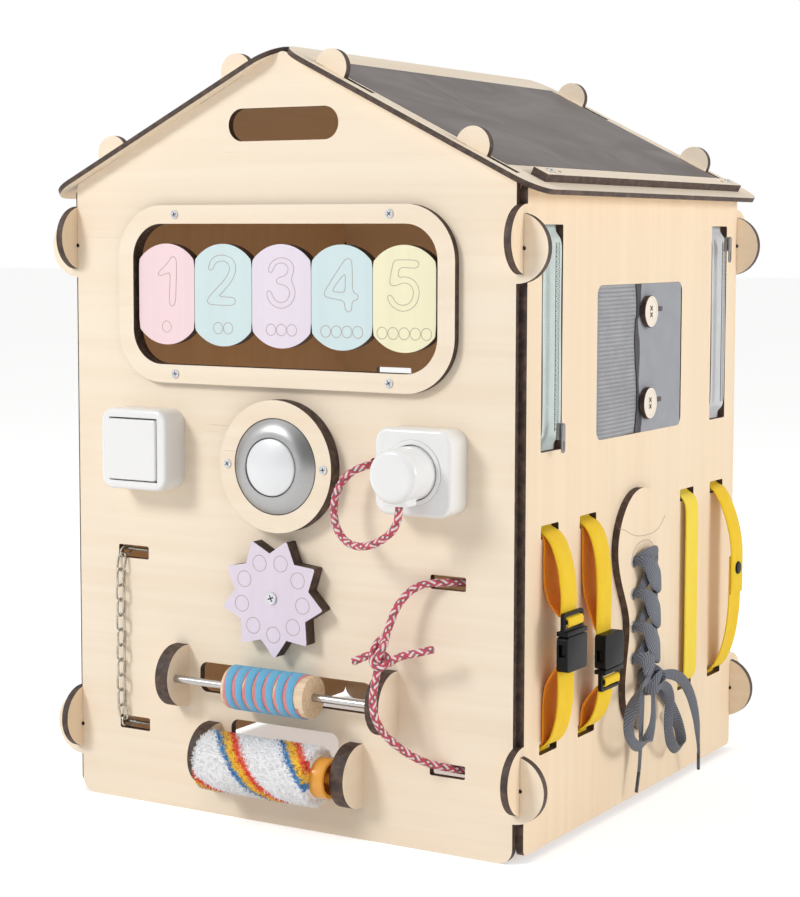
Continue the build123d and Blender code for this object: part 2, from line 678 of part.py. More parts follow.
# ================================================================ cords
def bend_radii(points):
    """Largest radius at each inner point that leaves a straight piece in both of its runs."""
    radii = []
    for before, here, after in zip(points, points[1:], points[2:]):
        run_in, run_out = Vector(*here) - Vector(*before), Vector(*after) - Vector(*here)
        half_turn = radians(run_in.get_angle(run_out) / 2)
        radii.append(0.45 * min(run_in.length, run_out.length) / tan(half_turn))
    return radii


def cord(points, radius):
    """Round cord through hand-chosen points, as straight runs joined by tangent arcs."""
    with BuildLine() as route:
        FilletPolyline(*points, radius=bend_radii(points))
    path = route.wires()[0]
    with BuildSketch(Plane(origin=path @ 0, z_dir=path % 0)) as section:
        Circle(radius)
    sweep(section.sketch, path=path)
    print("cord length", round(path.length, 1), "radii", [round(bend) for bend in bend_radii(points)])


def stopper(place):
    """Stopper knot of a cord on the inner face of the front wall."""
    with BuildSketch(Plane.XZ.offset(-front_inner - stopper_thickness)) as knot:
        with Locations(place):
            Circle(stopper_radius)
    extrude(knot.sketch, amount=stopper_thickness)


plug_cord_points = [(129, -46, 265), (129, -46, 251.5), (115, -45.5, 238.5), (97, -42.5, 231.5),
                    (80, -38, 232.5), (66.5, -32.5, 242), (61, -28, 256.5), (62.5, -24.5, 271),
                    (70, -19.5, 283), (81, -10.5, 288.6), (82.5, 6, 289)]
with BuildPart() as plug_cord:
    cord(plug_cord_points, plug_cord_radius)
    stopper((82.5, 289))
save(plug_cord, "plug_cord")

upper_rope_points = [(156, 6.5, 203.9), (139.5, -8.5, 205.4), (124, -15, 201.5), (113, -20.5, 188.5),
                     (107.5, -24.5, 171.5), (103.5, -27, 155)]
with BuildPart() as rope_upper:
    cord(upper_rope_points, rope_radius)
    stopper((156, 203.9))
save(rope_upper, "tie_rope_upper")

lower_rope_points = [(102.5, -29, 146), (102, -37, 128), (103, -40.5, 110), (109, -35.5, 93.5),
                     (121.5, -25, 79), (137, -12, 68), (156.5, 7, 62.5)]
with BuildPart() as rope_lower:
    cord(lower_rope_points, rope_radius)
    stopper((156.5, 62.5))
save(rope_lower, "tie_rope_lower")

with BuildPart() as rope_knot:
    cord([(101, -27.5, 151), (91, -29.5, 149), (80, -29.5, 143)], rope_radius)
    cord([(103, -28, 150.5), (119, -30, 152), (134, -29.5, 155), (147, -27.5, 159)], rope_radius)
    with BuildSketch(Plane.XZ.offset(-knot_y - knot_depth / 2)) as knot:
        with Locations((knot_x, knot_z)):
            Circle(knot_radius)
    extrude(knot.sketch, amount=knot_depth)
save(rope_knot, "tie_rope_knot")


# ================================================================ right wall: zips
def bends(points, most):
    """Radii of a folded band: as large as its runs allow, but no more than each fold's own limit."""
    return [min(radius, limit) for radius, limit in zip(bend_radii(points), most)]


def band(wall_y, points, most, width, thickness):
    """Tape or webbing: a flat section carried along (x, z) points at one place along the right wall."""
    with BuildLine(Plane.XZ.offset(-wall_y)) as route:
        FilletPolyline(*points, radius=bends([(x, 0, z) for x, z in points], most))
    path = route.wires()[0]
    with BuildSketch(Plane(origin=path @ 0, x_dir=(0, 1, 0), z_dir=path % 0)) as section:
        Rectangle(width, thickness)
    sweep(section.sketch, path=path)


tape_x = side_face + tape_stand - tape_thickness / 2
tape_tab_x = side_inner - tape_thickness / 2
tape_face = tape_x + tape_thickness / 2
slider_back = tape_face + teeth_thickness + slider_gap
with BuildPart() as zip_tapes:
    for side in (-1, 1):
        band(wall_middle + side * zip_offset,
             [(tape_tab_x, zip_slot_low - 12), (tape_tab_x, zip_slot_low + 3), (tape_x, zip_slot_low + 11),
              (tape_x, zip_slot_high - 11), (tape_tab_x, zip_slot_high - 3), (tape_tab_x, zip_slot_high + 12)],
             [slot_fold, open_fold, open_fold, slot_fold], tape_width, tape_thickness)
save(zip_tapes, "zip_tapes")

with BuildPart() as zip_teeth:
    with BuildSketch(right_plane.offset(tape_stand)):
        with Locations(*[(wall_middle + side * zip_offset, (zip_slot_low + zip_slot_high) / 2) for side in (-1, 1)]):
            Rectangle(teeth_width, zip_slot_high - zip_slot_low - 30)
    extrude(amount=teeth_thickness)
save(zip_teeth, "zip_teeth")

for word, side, slider_z in (("near", -1, near_slider_z), ("far", 1, far_slider_z)):
    zip_y = wall_middle + side * zip_offset
    with BuildPart() as slider:
        with BuildSketch(Plane.YZ.offset(slider_back)):
            with Locations((zip_y, slider_z)):
                Trapezoid(slider_width, slider_length, 80)
        extrude(amount=slider_thickness)
        with BuildSketch(Plane.YZ.offset(slider_back + slider_thickness)):
            with Locations((zip_y, slider_z + slider_length / 4)):
                Rectangle(pull_width / 2, slider_length / 3)
        extrude(amount=pull_lift)
        with BuildSketch(Plane.YZ.offset(slider_back + slider_thickness + pull_lift)):
            with Locations((zip_y, slider_z + slider_length / 2 - pull_length / 2)):
                SlotOverall(pull_length, pull_width, rotation=90)
                with Locations((0, -pull_length / 4)):
                    SlotOverall(pull_length / 3, pull_width / 3, rotation=90, mode=Mode.SUBTRACT)
        extrude(amount=pull_thickness)
    save(slider, f"zip_slider_{word}")

# ================================================================ right wall: buttoned fabric
flap_low, flap_high = fabric_low + flap_side_gap, fabric_high - flap_side_gap
flap_left, flap_right = fabric_middle - fabric_width / 2, fabric_middle + fabric_width / 2
lap_edge = wooden_button_y - wooden_button_radius - 2  # free edge of the upper flap
flap_tab_x = side_inner - flap_thickness / 2
under_x = side_face - 2 - flap_thickness / 2
over_x = under_x + flap_thickness + slider_gap


def flap(points):
    """Fabric flap: a sheet along (x, y) points, as tall as the opening."""
    with BuildLine(Plane.XY.offset(flap_low)) as route:
        FilletPolyline(*points, radius=bends([(x, y, 0) for x, y in points], [slot_fold, open_fold]))
    path = route.wires()[0]
    with BuildSketch(Plane(origin=path @ 0, x_dir=(0, 0, 1), z_dir=path % 0)) as section:
        Rectangle(flap_high - flap_low, flap_thickness, align=(Align.MIN, Align.CENTER))
    sweep(section.sketch, path=path)


with BuildPart() as flap_under:
    flap([(flap_tab_x, flap_left - 10), (flap_tab_x, flap_left + 4), (under_x, flap_left + 10),
          (under_x, lap_edge + flap_lap)])
save(flap_under, "fabric_flap_under")

with BuildPart() as flap_over:
    flap([(flap_tab_x, flap_right + 10), (flap_tab_x, flap_right - 4), (over_x, flap_right - 11),
          (over_x, lap_edge)])
    with BuildSketch(Plane.YZ.offset(over_x - flap_thickness)):
        with Locations(*[(wooden_button_y + buttonhole_length / 2 - 4, height) for height in wooden_button_z]):
            SlotOverall(buttonhole_length, buttonhole_width)
    extrude(amount=2 * flap_thickness, mode=Mode.SUBTRACT)
save(flap_over, "fabric_flap_over")

button_back = over_x + flap_thickness / 2 + slider_gap
with BuildPart() as wooden_buttons:
    with BuildSketch(Plane.YZ.offset(button_back)):
        with Locations(*[(wooden_button_y, height) for height in wooden_button_z]):
            Circle(wooden_button_radius)
    extrude(amount=wooden_button_thickness)
    with BuildSketch(Plane.YZ.offset(under_x + flap_thickness / 2)):
        with Locations(*[(wooden_button_y, height) for height in wooden_button_z]):
            Circle(thread_radius)
    extrude(amount=button_back - under_x - flap_thickness / 2)
save(wooden_buttons, "wooden_buttons")

# ================================================================ right wall: straps and buckles
strap_tab_x = side_inner - strap_thickness / 2
buckle_x = side_face + buckle_stand
bar_half = 1.5
ladder_slot, slots_mid = 3.4, (6.9, 13.1)  # webbing slots of the ladder, from the joint line
behind_bar, over_bar = buckle_x - bar_half - strap_thickness, buckle_x + bar_half + strap_thickness
behind_body = buckle_x - (buckle_thickness + strap_thickness) / 2


def strap_start(slot_z, outward):
    """Points from a strap's glued tab behind the wall out through its slot; outward is 1 at the top."""
    return [(strap_tab_x, slot_z + outward * (strap_slot_height / 2 + strap_tab)),
            (strap_tab_x, slot_z + outward * 2.0), (side_face + 3, slot_z - outward * 2.4)]


start_folds = [slot_fold, open_fold]


def buckle_male(name, wall_y, joint_z, side):
    """Ladder frame with two bars for the webbing, and the guide and prongs that enter the other half."""
    with BuildPart() as male:
        with BuildSketch(Plane.YZ.offset(buckle_x - bar_half)):
            with Locations((wall_y, joint_z + side * male_length / 2)):
                RectangleRounded(buckle_width, male_length, 2)
            with Locations(*[(wall_y, joint_z + side * place) for place in slots_mid]):
                Rectangle(strap_width + 1.5, ladder_slot, mode=Mode.SUBTRACT)
        extrude(amount=2 * bar_half)
        with BuildSketch(Plane.YZ.offset(buckle_x - buckle_thickness / 2)):
            with Locations((wall_y, joint_z + side * 2)):
                Rectangle(buckle_width, 4 - 2 * prong_gap)
        extrude(amount=buckle_thickness)
        with BuildSketch(Plane.YZ.offset(buckle_x - bar_half)):
            prong_shift = buckle_width / 2 - buckle_wall - prong_gap - 2.5
            with Locations(*[(wall_y + across * prong_shift, joint_z + side * (2 - prong_length / 2))
                             for across in (-1, 1)]):
                Rectangle(5, prong_length + 4)
            with Locations((wall_y, joint_z + side * (2 - prong_length / 2))):
                Rectangle(3, prong_length)
        extrude(amount=2 * bar_half)
    save(male, name)


def buckle_female(wall_y, joint_z, side):
    """Adds a hollow body with side windows over the prongs; its webbing is sewn to the back."""
    near = joint_z - side * prong_gap
    with BuildPart(mode=Mode.PRIVATE) as female:
        with BuildSketch(Plane.YZ.offset(buckle_x - buckle_thickness / 2)):
            with Locations((wall_y, near - side * female_length / 2)):
                RectangleRounded(buckle_width, female_length, 3)
        extrude(amount=buckle_thickness)
        with BuildSketch(Plane.XY.offset(near)):
            with Locations((buckle_x, wall_y)):
                Rectangle(buckle_thickness - 2 * buckle_wall, buckle_width - 2 * buckle_wall)
        extrude(amount=-side * (female_length - 8), mode=Mode.SUBTRACT)
        with BuildSketch(Plane.XZ.offset(-wall_y)):
            with Locations((buckle_x, near - side * 10)):
                Rectangle(buckle_thickness - 2 * buckle_wall, 9)
        extrude(amount=buckle_width, both=True, mode=Mode.SUBTRACT)
    add(female.part)


buckles = ((wall_middle - outer_strap, first_buckle_z, 1), (wall_middle - inner_strap, second_buckle_z, -1))
for word, (strap_y, joint_z, side) in zip(("first", "second"), buckles):
    buckle_male(f"buckle_male_{word}", strap_y, joint_z, side)
    male_slot = upper_strap_z if side > 0 else lower_strap_z
    near_slot, far_slot = joint_z + side * slots_mid[0], joint_z + side * slots_mid[1]
    with BuildPart() as webbing:
        band(strap_y, strap_start(male_slot, side) + [
            (side_face + 11, male_slot - side * 16), (behind_bar, (male_slot + far_slot) / 2),
            (behind_bar, far_slot), (over_bar, far_slot), (over_bar, near_slot), (buckle_x, near_slot)],
            start_folds + [open_fold, open_fold, tight_fold, tight_fold, tight_fold],
            strap_width, strap_thickness)
    save(webbing, f"strap_male_{word}")

with BuildPart() as buckle_females:
    for strap_y, joint_z, side in buckles:
        buckle_female(strap_y, joint_z, side)
save(buckle_females, "buckle_females")

with BuildPart() as female_straps:
    for strap_y, joint_z, side in buckles:
        female_slot = lower_strap_z if side > 0 else upper_strap_z
        body_end = joint_z - side * female_length
        band(strap_y, strap_start(female_slot, -side) + [
            (side_face + 10, female_slot + side * 14), (behind_body, body_end - side * 8),
            (behind_body, joint_z - side * 6)],
            start_folds + [open_fold, open_fold], strap_width, strap_thickness)
save(female_straps, "straps_female")

flat_x = side_face + flat_strap_stand
with BuildPart() as flat_strap:
    band(wall_middle + inner_strap,
         strap_start(upper_strap_z, 1)[:2] + [(flat_x, upper_strap_z - 6), (flat_x, lower_strap_z + 6)]
         + strap_start(lower_strap_z, -1)[1::-1],
         [slot_fold, open_fold, open_fold, slot_fold], strap_width, strap_thickness)
save(flat_strap, "strap_flat")

snap_x = side_face + snap_strap_stand
with BuildPart() as snap_strap:
    band(wall_middle + outer_strap,
         strap_start(upper_strap_z, 1) + [(side_face + 12, upper_strap_z - 20), (snap_x, snap_z + 20),
                                          (snap_x, snap_z - snap_tail)],
         start_folds + [open_fold, open_fold], strap_width, strap_thickness)
    band(wall_middle + outer_strap,
         strap_start(lower_strap_z, -1) + [(side_face + 10, lower_strap_z + 16),
                                           (snap_x - strap_thickness, snap_z - 40),
                                           (snap_x - strap_thickness, snap_z + snap_tail / 2)],
         start_folds + [open_fold, open_fold], strap_width, strap_thickness)
save(snap_strap, "strap_snap")

with BuildPart() as snap:
    with BuildSketch(Plane.YZ.offset(snap_x + strap_thickness / 2)):
        with Locations((wall_middle + outer_strap, snap_z)):
            Circle(snap_radius)
    extrude(amount=snap_height, taper=head_taper)
save(snap, "strap_snap_cap")

# ================================================================ right wall: lacing shoe
shoe_outline = [(200, 258), (165, 246), (150, 216), (160, 181), (172.5, 153), (167.5, 118), (170, 82),
                (190, 64), (225, 62), (251, 82), (257.5, 130), (253.5, 190), (234, 238)]
with BuildPart() as shoe_plate:
    with BuildSketch(right_plane):
        with BuildLine():
            Spline(*shoe_outline, periodic=True)
        make_face()
        with Locations(*shoe_holes):
            Circle(shoe_hole_radius + screw_clearance, mode=Mode.SUBTRACT)
    extrude(amount=ply)
save(shoe_plate, "shoe_plate")

with BuildPart() as shoe_eyelets:
    with BuildSketch(right_plane.offset(ply)):
        with Locations(*shoe_holes):
            Circle(eyelet_flange)
    extrude(amount=eyelet_height)
    with BuildSketch(right_plane):
        with Locations(*shoe_holes):
            Circle(shoe_hole_radius)
    extrude(amount=ply)
    with BuildSketch(right_plane):
        with Locations(*shoe_holes):
            Circle(shoe_hole_radius - 0.7)
    extrude(amount=ply + eyelet_height, mode=Mode.SUBTRACT)
save(shoe_eyelets, "shoe_eyelets")

lace_x = side_face + ply + eyelet_height + slider_gap + lace_radius
lace_rows = len(shoe_holes) // 2
left_holes, right_holes = shoe_holes[:lace_rows], shoe_holes[lace_rows:]
lace_runs = list(zip(left_holes, right_holes[1:])) + [(left_holes[-1], lace_knot_entry)]
with BuildPart() as shoe_lace:
    for (from_y, from_z), (to_y, to_z) in lace_runs:
        with BuildLine() as crossing:
            Line((lace_x, from_y, from_z), (lace_x, to_y, to_z))
        with BuildSketch(Plane(origin=crossing.line @ 0, z_dir=crossing.line % 0)) as section:
            Circle(lace_radius)
        sweep(section.sketch, path=crossing.wires()[0])
    with BuildSketch(Plane.YZ.offset(lace_x - lace_radius)) as knot:
        with Locations(lace_knot):
            Ellipse(lace_knot_width / 2, lace_knot_height / 2)
    extrude(knot.sketch, amount=lace_knot_depth)
save(shoe_lace, "shoe_lace")

# Two loops and two ends of the bow, each held in the knot.
with BuildPart() as lace_bow:
    cord([(222, 191, 105), (226, 166, 106), (229, 141, 95), (229, 133, 77), (227, 150, 60), (225.5, 174, 54),
          (224, 193, 65), (223, 197, 83), (222, 196.5, 100)], bow_radius)
    cord([(217, 188, 100), (216.5, 186, 77), (217, 187, 53), (217.5, 181.5, 29)], bow_radius)
    cord([(223, 203, 106), (226, 228, 105), (228, 253, 90), (228, 271, 66), (226, 283, 43), (224, 290, 23)],
         bow_radius)
    cord([(222.5, 204, 100), (223.5, 222, 95), (223.5, 230, 80), (223.5, 224, 62), (223, 233, 43),
          (221, 253, 32), (218.5, 267, 38), (217.5, 259, 57), (217, 243, 76), (217, 224, 90), (217, 204, 101)],
         bow_radius)
save(lace_bow, "lace_bow")
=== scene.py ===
"""Looks of the plywood busy house: its finishes, cords, cloth, webbing and small trim."""

from math import cos, pi, radians, sin
import random

import bmesh
import bpy
from mathutils import Matrix, Vector


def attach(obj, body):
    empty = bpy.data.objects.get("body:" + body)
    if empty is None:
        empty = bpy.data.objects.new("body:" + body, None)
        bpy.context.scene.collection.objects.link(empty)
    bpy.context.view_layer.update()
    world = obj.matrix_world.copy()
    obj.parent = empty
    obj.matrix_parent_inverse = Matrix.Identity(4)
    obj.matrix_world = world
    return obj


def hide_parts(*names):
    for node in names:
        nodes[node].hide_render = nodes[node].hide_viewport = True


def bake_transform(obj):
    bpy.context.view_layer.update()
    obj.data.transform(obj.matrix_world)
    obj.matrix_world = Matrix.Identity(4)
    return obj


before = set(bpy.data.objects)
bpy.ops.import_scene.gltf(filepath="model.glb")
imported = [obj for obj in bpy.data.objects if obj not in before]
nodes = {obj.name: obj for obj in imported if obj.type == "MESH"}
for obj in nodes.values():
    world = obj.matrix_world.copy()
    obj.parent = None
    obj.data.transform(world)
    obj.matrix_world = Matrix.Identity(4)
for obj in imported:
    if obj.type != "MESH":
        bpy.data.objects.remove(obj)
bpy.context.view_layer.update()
random.seed(7)
MM = 0.001


def linked(name, data):
    """New object in the scene."""
    made = bpy.data.objects.new(name, data)
    bpy.context.collection.objects.link(made)
    return made


# ---------------------------------------------------------------- camera, lamps and floor
# A long lens a little above the house, a soft lamp high on the left, a weaker one on the right, a
# faint warm one inside, and a white surround that is dimmer in glossy things, over a pale floor.
camera_data = bpy.data.cameras.new("camera")
camera_data.lens = 83.15
camera_data.sensor_width = 36
camera_data.shift_y = -0.0401
camera = linked("camera", camera_data)
camera.location = (0.88499, -1.31651, 0.45944)
camera.rotation_euler = (radians(90 - 4.913), radians(-0.134), radians(30.747))
bpy.context.scene.camera = camera
bpy.context.scene.view_settings.view_transform = "Standard"


def lamp(name, place, target, size, power):
    """Square soft lamp at one place, turned to another."""
    data = bpy.data.lights.new(name, "AREA")
    data.size = size
    data.energy = power
    made = linked(name, data)
    made.location = place
    made.rotation_euler = (Vector(target) - Vector(place)).to_track_quat("-Z", "Y").to_euler()


lamp("key_lamp", (-1.3, -2.1, 1.9), (0, 0.1, 0.25), 0.8, 41)
lamp("side_lamp", (2.5, 0.5, 1.0), (0.2, 0.25, 0.25), 0.9, 24)
inside = bpy.data.lights.new("inside_glow", "POINT")
inside.energy = 0.16
inside.color = (1.0, 0.70, 0.48)
inside.shadow_soft_size = 0.08
linked("inside_glow", inside).location = (0, 0.2, 0.25)


def put(tree, kind, inputs=None, **settings):
    """Adds a node; an input is a value or the socket that feeds it."""
    made = tree.nodes.new(kind)
    for key, value in settings.items():
        setattr(made, key, value)
    for key, value in (inputs or {}).items():
        if isinstance(value, bpy.types.NodeSocket):
            tree.links.new(value, made.inputs[key])
        else:
            made.inputs[key].default_value = value
    return made


def reckoned(tree, operation, *values):
    """Result of a sum on values or sockets."""
    return put(tree, "ShaderNodeMath", dict(enumerate(values)), operation=operation).outputs[0]


world = bpy.data.worlds.new("surround")
bpy.context.scene.world = world
world.use_nodes = True
tree = world.node_tree
tree.nodes.clear()
where = put(tree, "ShaderNodeTexCoord")
room = put(tree, "ShaderNodeVectorMath", {0: where.outputs["Generated"], 1: (0.55, -0.82, 0.15)},
           operation="DOT_PRODUCT")
dim = put(tree, "ShaderNodeMapRange", {"Value": room.outputs["Value"], "From Min": 0.35, "From Max": 0.9,
                                       "To Min": 1.0, "To Max": 0.16}, interpolation_type="SMOOTHSTEP")
path = put(tree, "ShaderNodeLightPath")
mirrored = put(tree, "ShaderNodeMix", {0: path.outputs["Is Glossy Ray"], 2: 0.50, 3: dim.outputs[0]})
strength = put(tree, "ShaderNodeMix", {0: path.outputs["Is Camera Ray"], 2: mirrored.outputs[0], 3: 1.0})
light = put(tree, "ShaderNodeBackground", {"Color": (1, 1, 1, 1), "Strength": strength.outputs[0]})
put(tree, "ShaderNodeOutputWorld", {"Surface": light.outputs[0]})


def finish(name, colour, roughness=0.5, metallic=0.0, **sockets):
    """New material with its shader's own sockets set; returns it with its node tree and shader."""
    material = bpy.data.materials.new(name)
    material.use_nodes = True
    shader = material.node_tree.nodes["Principled BSDF"]
    shader.inputs["Base Color"].default_value = (*colour, 1)
    shader.inputs["Roughness"].default_value = roughness
    shader.inputs["Metallic"].default_value = metallic
    for key, value in sockets.items():
        shader.inputs[key.replace("_", " ")].default_value = value
    return material, material.node_tree, shader


def blended(tree, share, first, second):
    """Colour between two colours or sockets, by a share."""
    mix = put(tree, "ShaderNodeMix", {0: share}, data_type="RGBA")
    for index, colour in ((6, first), (7, second)):
        if isinstance(colour, bpy.types.NodeSocket):
            tree.links.new(colour, mix.inputs[index])
        else:
            mix.inputs[index].default_value = (*colour, 1)
    return mix.outputs[2]


def coloured(tree, shader, share, first, second):
    """Feeds a blend of two colours into a shader's base colour."""
    tree.links.new(blended(tree, share, first, second), shader.inputs["Base Color"])


def ramp(tree, value, low, high, most=1.0):
    """A value stretched so that low gives 0 and high gives most."""
    made = put(tree, "ShaderNodeMapRange",
               {"Value": value, "From Min": low, "From Max": high, "To Max": most},
               interpolation_type="SMOOTHSTEP")
    return made.outputs[0]


def noise(tree, scale, stretch=(1, 1, 1), detail=3.0, distort=0.0):
    """Noise on object coordinates, in waves per metre times the stretch along each axis."""
    where = put(tree, "ShaderNodeTexCoord")
    turned = put(tree, "ShaderNodeMapping", {"Vector": where.outputs["Object"], "Scale": stretch})
    made = put(tree, "ShaderNodeTexNoise",
               {"Vector": turned.outputs[0], "Scale": scale, "Detail": detail, "Distortion": distort})
    return made.outputs["Fac"]


def waves(tree, vector, scale, direction, distort, detail=2.0):
    """Even bands square to one direction."""
    made = put(tree, "ShaderNodeTexWave",
               {"Vector": vector, "Scale": scale, "Distortion": distort, "Detail": detail},
               bands_direction=direction)
    return made.outputs["Fac"]


def bump(tree, shader, height, depth):
    """Feeds a height, in metres, into a shader's normal."""
    made = put(tree, "ShaderNodeBump", {"Height": height, "Distance": depth, "Strength": 1.0})
    tree.links.new(made.outputs[0], shader.inputs["Normal"])


bpy.ops.mesh.primitive_plane_add(size=40, location=(0, 0, 0))
floor = bpy.context.object
floor.name = "floor"
floor_white, tree, shader = finish("floor_white", (0.93, 0.925, 0.92), 0.9, Emission_Color=(1, 1, 1, 1))
coloured(tree, shader, noise(tree, 3), (0.93, 0.925, 0.92), (0.915, 0.91, 0.905))
path = put(tree, "ShaderNodeLightPath")
seen = reckoned(tree, "MAXIMUM", path.outputs["Is Camera Ray"], path.outputs["Is Glossy Ray"])
tree.links.new(reckoned(tree, "MULTIPLY", seen, 0.45), shader.inputs["Emission Strength"])
floor.data.materials.append(floor_white)


# ---------------------------------------------------------------- plug cord and tie rope
# Round polyester cord, 6 mm thick, braided from red, white and a few dark yarns. It is threaded
# through holes in the front wall, knotted behind it, and tied in front in one loose knot.
def spline_through(name, points, resolution):
    """New curve with one NURBS spline whose control points are in millimetres."""
    curve = bpy.data.curves.new(name, "CURVE")
    curve.dimensions = "3D"
    curve.resolution_u = resolution
    spline = curve.splines.new("NURBS")
    spline.points.add(len(points) - 1)
    for made, point in zip(spline.points, points):
        made.co = (*[value * MM for value in point], 1)
    spline.order_u = 3
    return curve, spline


def smooth_route(points):
    """Points along the NURBS spline whose control points these are, in metres."""
    curve, spline = spline_through("route", points, 20)
    spline.use_endpoint_u = True
    holder = bpy.data.objects.new("route", curve)
    mesh = bpy.data.meshes.new_from_object(holder)
    line = [vertex.co.copy() for vertex in mesh.vertices]
    bpy.data.objects.remove(holder)
    bpy.data.meshes.remove(mesh)
    return line


def evenly(line, step):
    """The same line with points one step apart, with each point's distance along it."""
    ends = [0.0]
    for a, b in zip(line, line[1:]):
        ends.append(ends[-1] + (b - a).length)
    count = max(2, round(ends[-1] / step))
    spaced, index = [], 0
    for number in range(count + 1):
        goal = ends[-1] * number / count
        while index < len(line) - 2 and ends[index + 1] < goal:
            index += 1
        share = (goal - ends[index]) / max(ends[index + 1] - ends[index], 1e-9)
        spaced.append(line[index].lerp(line[index + 1], min(share, 1)))
    return spaced, ends[-1]


def run_along(spaced, across=None):
    """Tangent, across and facing vectors at each point; across is a fixed or changing direction."""
    frames, carried = [], None
    for number, point in enumerate(spaced):
        ahead = spaced[min(number + 1, len(spaced) - 1)] - spaced[max(number - 1, 0)]
        ahead.normalize()
        if across is None:
            hint = carried if carried is not None else ahead.orthogonal()
        else:
            hint = across(number / (len(spaced) - 1)) if callable(across) else Vector(across)
        side = (hint - ahead * hint.dot(ahead)).normalized()
        carried = side
        frames.append((ahead, side, ahead.cross(side)))
    return frames


def belonging(made, body, node_names=()):
    """Rides a piece on a body and hides the CAD nodes that it stands for."""
    if body:
        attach(made, body)
    if node_names:
        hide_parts(*node_names)
    return made


def piece_of(name, points, faces, material, body, node_names=(), slot=None, smooth=True):
    """A new piece from points and faces, riding on a body and standing for CAD nodes."""
    mesh = bpy.data.meshes.new(name)
    mesh.from_pydata(points, [], faces)
    mesh.validate()
    made = linked(name, mesh)
    mesh.materials.append(material)
    if smooth:
        mesh.shade_smooth()
    return belonging(made, body, node_names)


def point_colours(made, name, colours):
    """Gives each point of a piece its own colour."""
    attribute = made.data.color_attributes.new(name, "FLOAT_COLOR", "POINT")
    for place, colour in zip(attribute.data, colours):
        place.color = colour


def spokes(count):
    """Cosine and sine at equal steps round a circle."""
    return [(cos(2 * pi * step / count), sin(2 * pi * step / count)) for step in range(count)]


def tube(spaced, frames, section, closed_ends=True):
    """Rings of a section carried along a line. section(number, share) gives (across, facing) pairs."""
    points, faces = [], []
    last = len(spaced) - 1
    for number, (centre, (_, side, face)) in enumerate(zip(spaced, frames)):
        ring = section(number, number / last)
        points += [centre + side * a + face * b for a, b in ring]
    size = len(ring)
    for number in range(last):
        for place in range(size):
            after = (place + 1) % size
            faces.append((number * size + place, number * size + after,
                          (number + 1) * size + after, (number + 1) * size + place))
    if closed_ends:
        faces.append(tuple(range(size - 1, -1, -1)))
        faces.append(tuple(last * size + place for place in range(size)))
    return points, faces


CORD_SIDES, CORD_YARNS, CORD_LAY = 32, 8, 0.023
yarn_red, yarn_white, yarn_dark = (0.60, 0.040, 0.085), (0.90, 0.79, 0.78), (0.13, 0.085, 0.085)
first_yarns = (yarn_red, yarn_red, yarn_white, yarn_red, yarn_white, yarn_red, yarn_red, yarn_white)
second_yarns = (yarn_white, yarn_red, yarn_dark, yarn_white, yarn_red, yarn_red, yarn_dark, yarn_red)
cord_braid, tree, shader = finish("cord_braid", yarn_red, 0.75, Sheen_Weight=0.15)
yarn_and_shade_colour = put(tree, "ShaderNodeAttribute", attribute_name="yarn")
fibre = noise(tree, 2600, (1, 1, 1), 2)
coloured(tree, shader, ramp(tree, fibre, 0.3, 0.9, 0.12), yarn_and_shade_colour.outputs["Color"], (0.95, 0.85, 0.84))
bump(tree, shader, fibre, 0.0002)


def braid(name, points, radius, body, node_names=(), slot="rope"):
    """A braided cord: over-and-under yarns as ridges on a tube, each with its own colour, darker in the
    grooves as painted shade.
    """
    spaced, length = evenly(smooth_route(points), 0.0005)
    frames = run_along(spaced)
    colours = []

    def section(number, share):
        along = number * length / (len(spaced) - 1) / CORD_LAY
        ring = []
        for place in range(CORD_SIDES):
            turn = place / CORD_SIDES
            first, second = (turn + along) * CORD_YARNS, (turn - along) * CORD_YARNS
            on_top = (int(first // 1) + int(second // 1)) % 2 == 0
            yarn, cross = (first, second) if on_top else (second, first)
            swell = sin(pi * (yarn % 1)) ** 0.6 * sin(pi * (cross % 1)) ** 0.3
            kinds = first_yarns if on_top else second_yarns
            # Each yarn is darker towards its edges and where it dips under another: painted shade in the
            # braid's grooves.
            shade = 0.72 + 0.28 * swell
            colours.append([tone * shade for tone in kinds[int(yarn // 1) % CORD_YARNS]] + [1])
            reach = radius * (0.87 + 0.13 * swell)
            ring.append((reach * cos(2 * pi * turn), reach * sin(2 * pi * turn)))
        return ring

    points_made, faces = tube(spaced, frames, section)
    made = piece_of(name, points_made, faces, cord_braid, body, node_names, slot)
    point_colours(made, "yarn", colours)
    return made, spaced, length


plug_cord_points = [(82.5, 6, 289), (81, -10.5, 288.6), (70, -19.5, 283), (62.5, -24.5, 271),
                    (61, -28, 256.5), (66.5, -32.5, 242), (80, -38, 232.5), (97, -42.5, 231.5),
                    (115, -45.5, 238.5), (129, -46, 251.5), (129, -46, 265)]
plug_cord, plug_cord_line, plug_cord_length = braid("plug_cord_braid", plug_cord_points, 0.003, "house",
                                                     ["plug_cord"])
upper_rope, upper_line, upper_length = braid("tie_rope_upper_braid", [
    (156, 6.5, 203.9), (139.5, -8.5, 205.4), (124, -15, 201.5), (113, -20.5, 188.5), (107.5, -24.5, 171.5),
    (103.5, -27, 155)], 0.003, "house", ["tie_rope_upper"])
lower_rope, spaced, length = braid("tie_rope_lower_braid", [
    (156.5, 7, 62.5), (137, -12, 68), (121.5, -25, 79), (109, -35.5, 93.5), (103, -40.5, 110),
    (102, -37, 128), (102.5, -29, 146)], 0.003, "house", ["tie_rope_lower"])
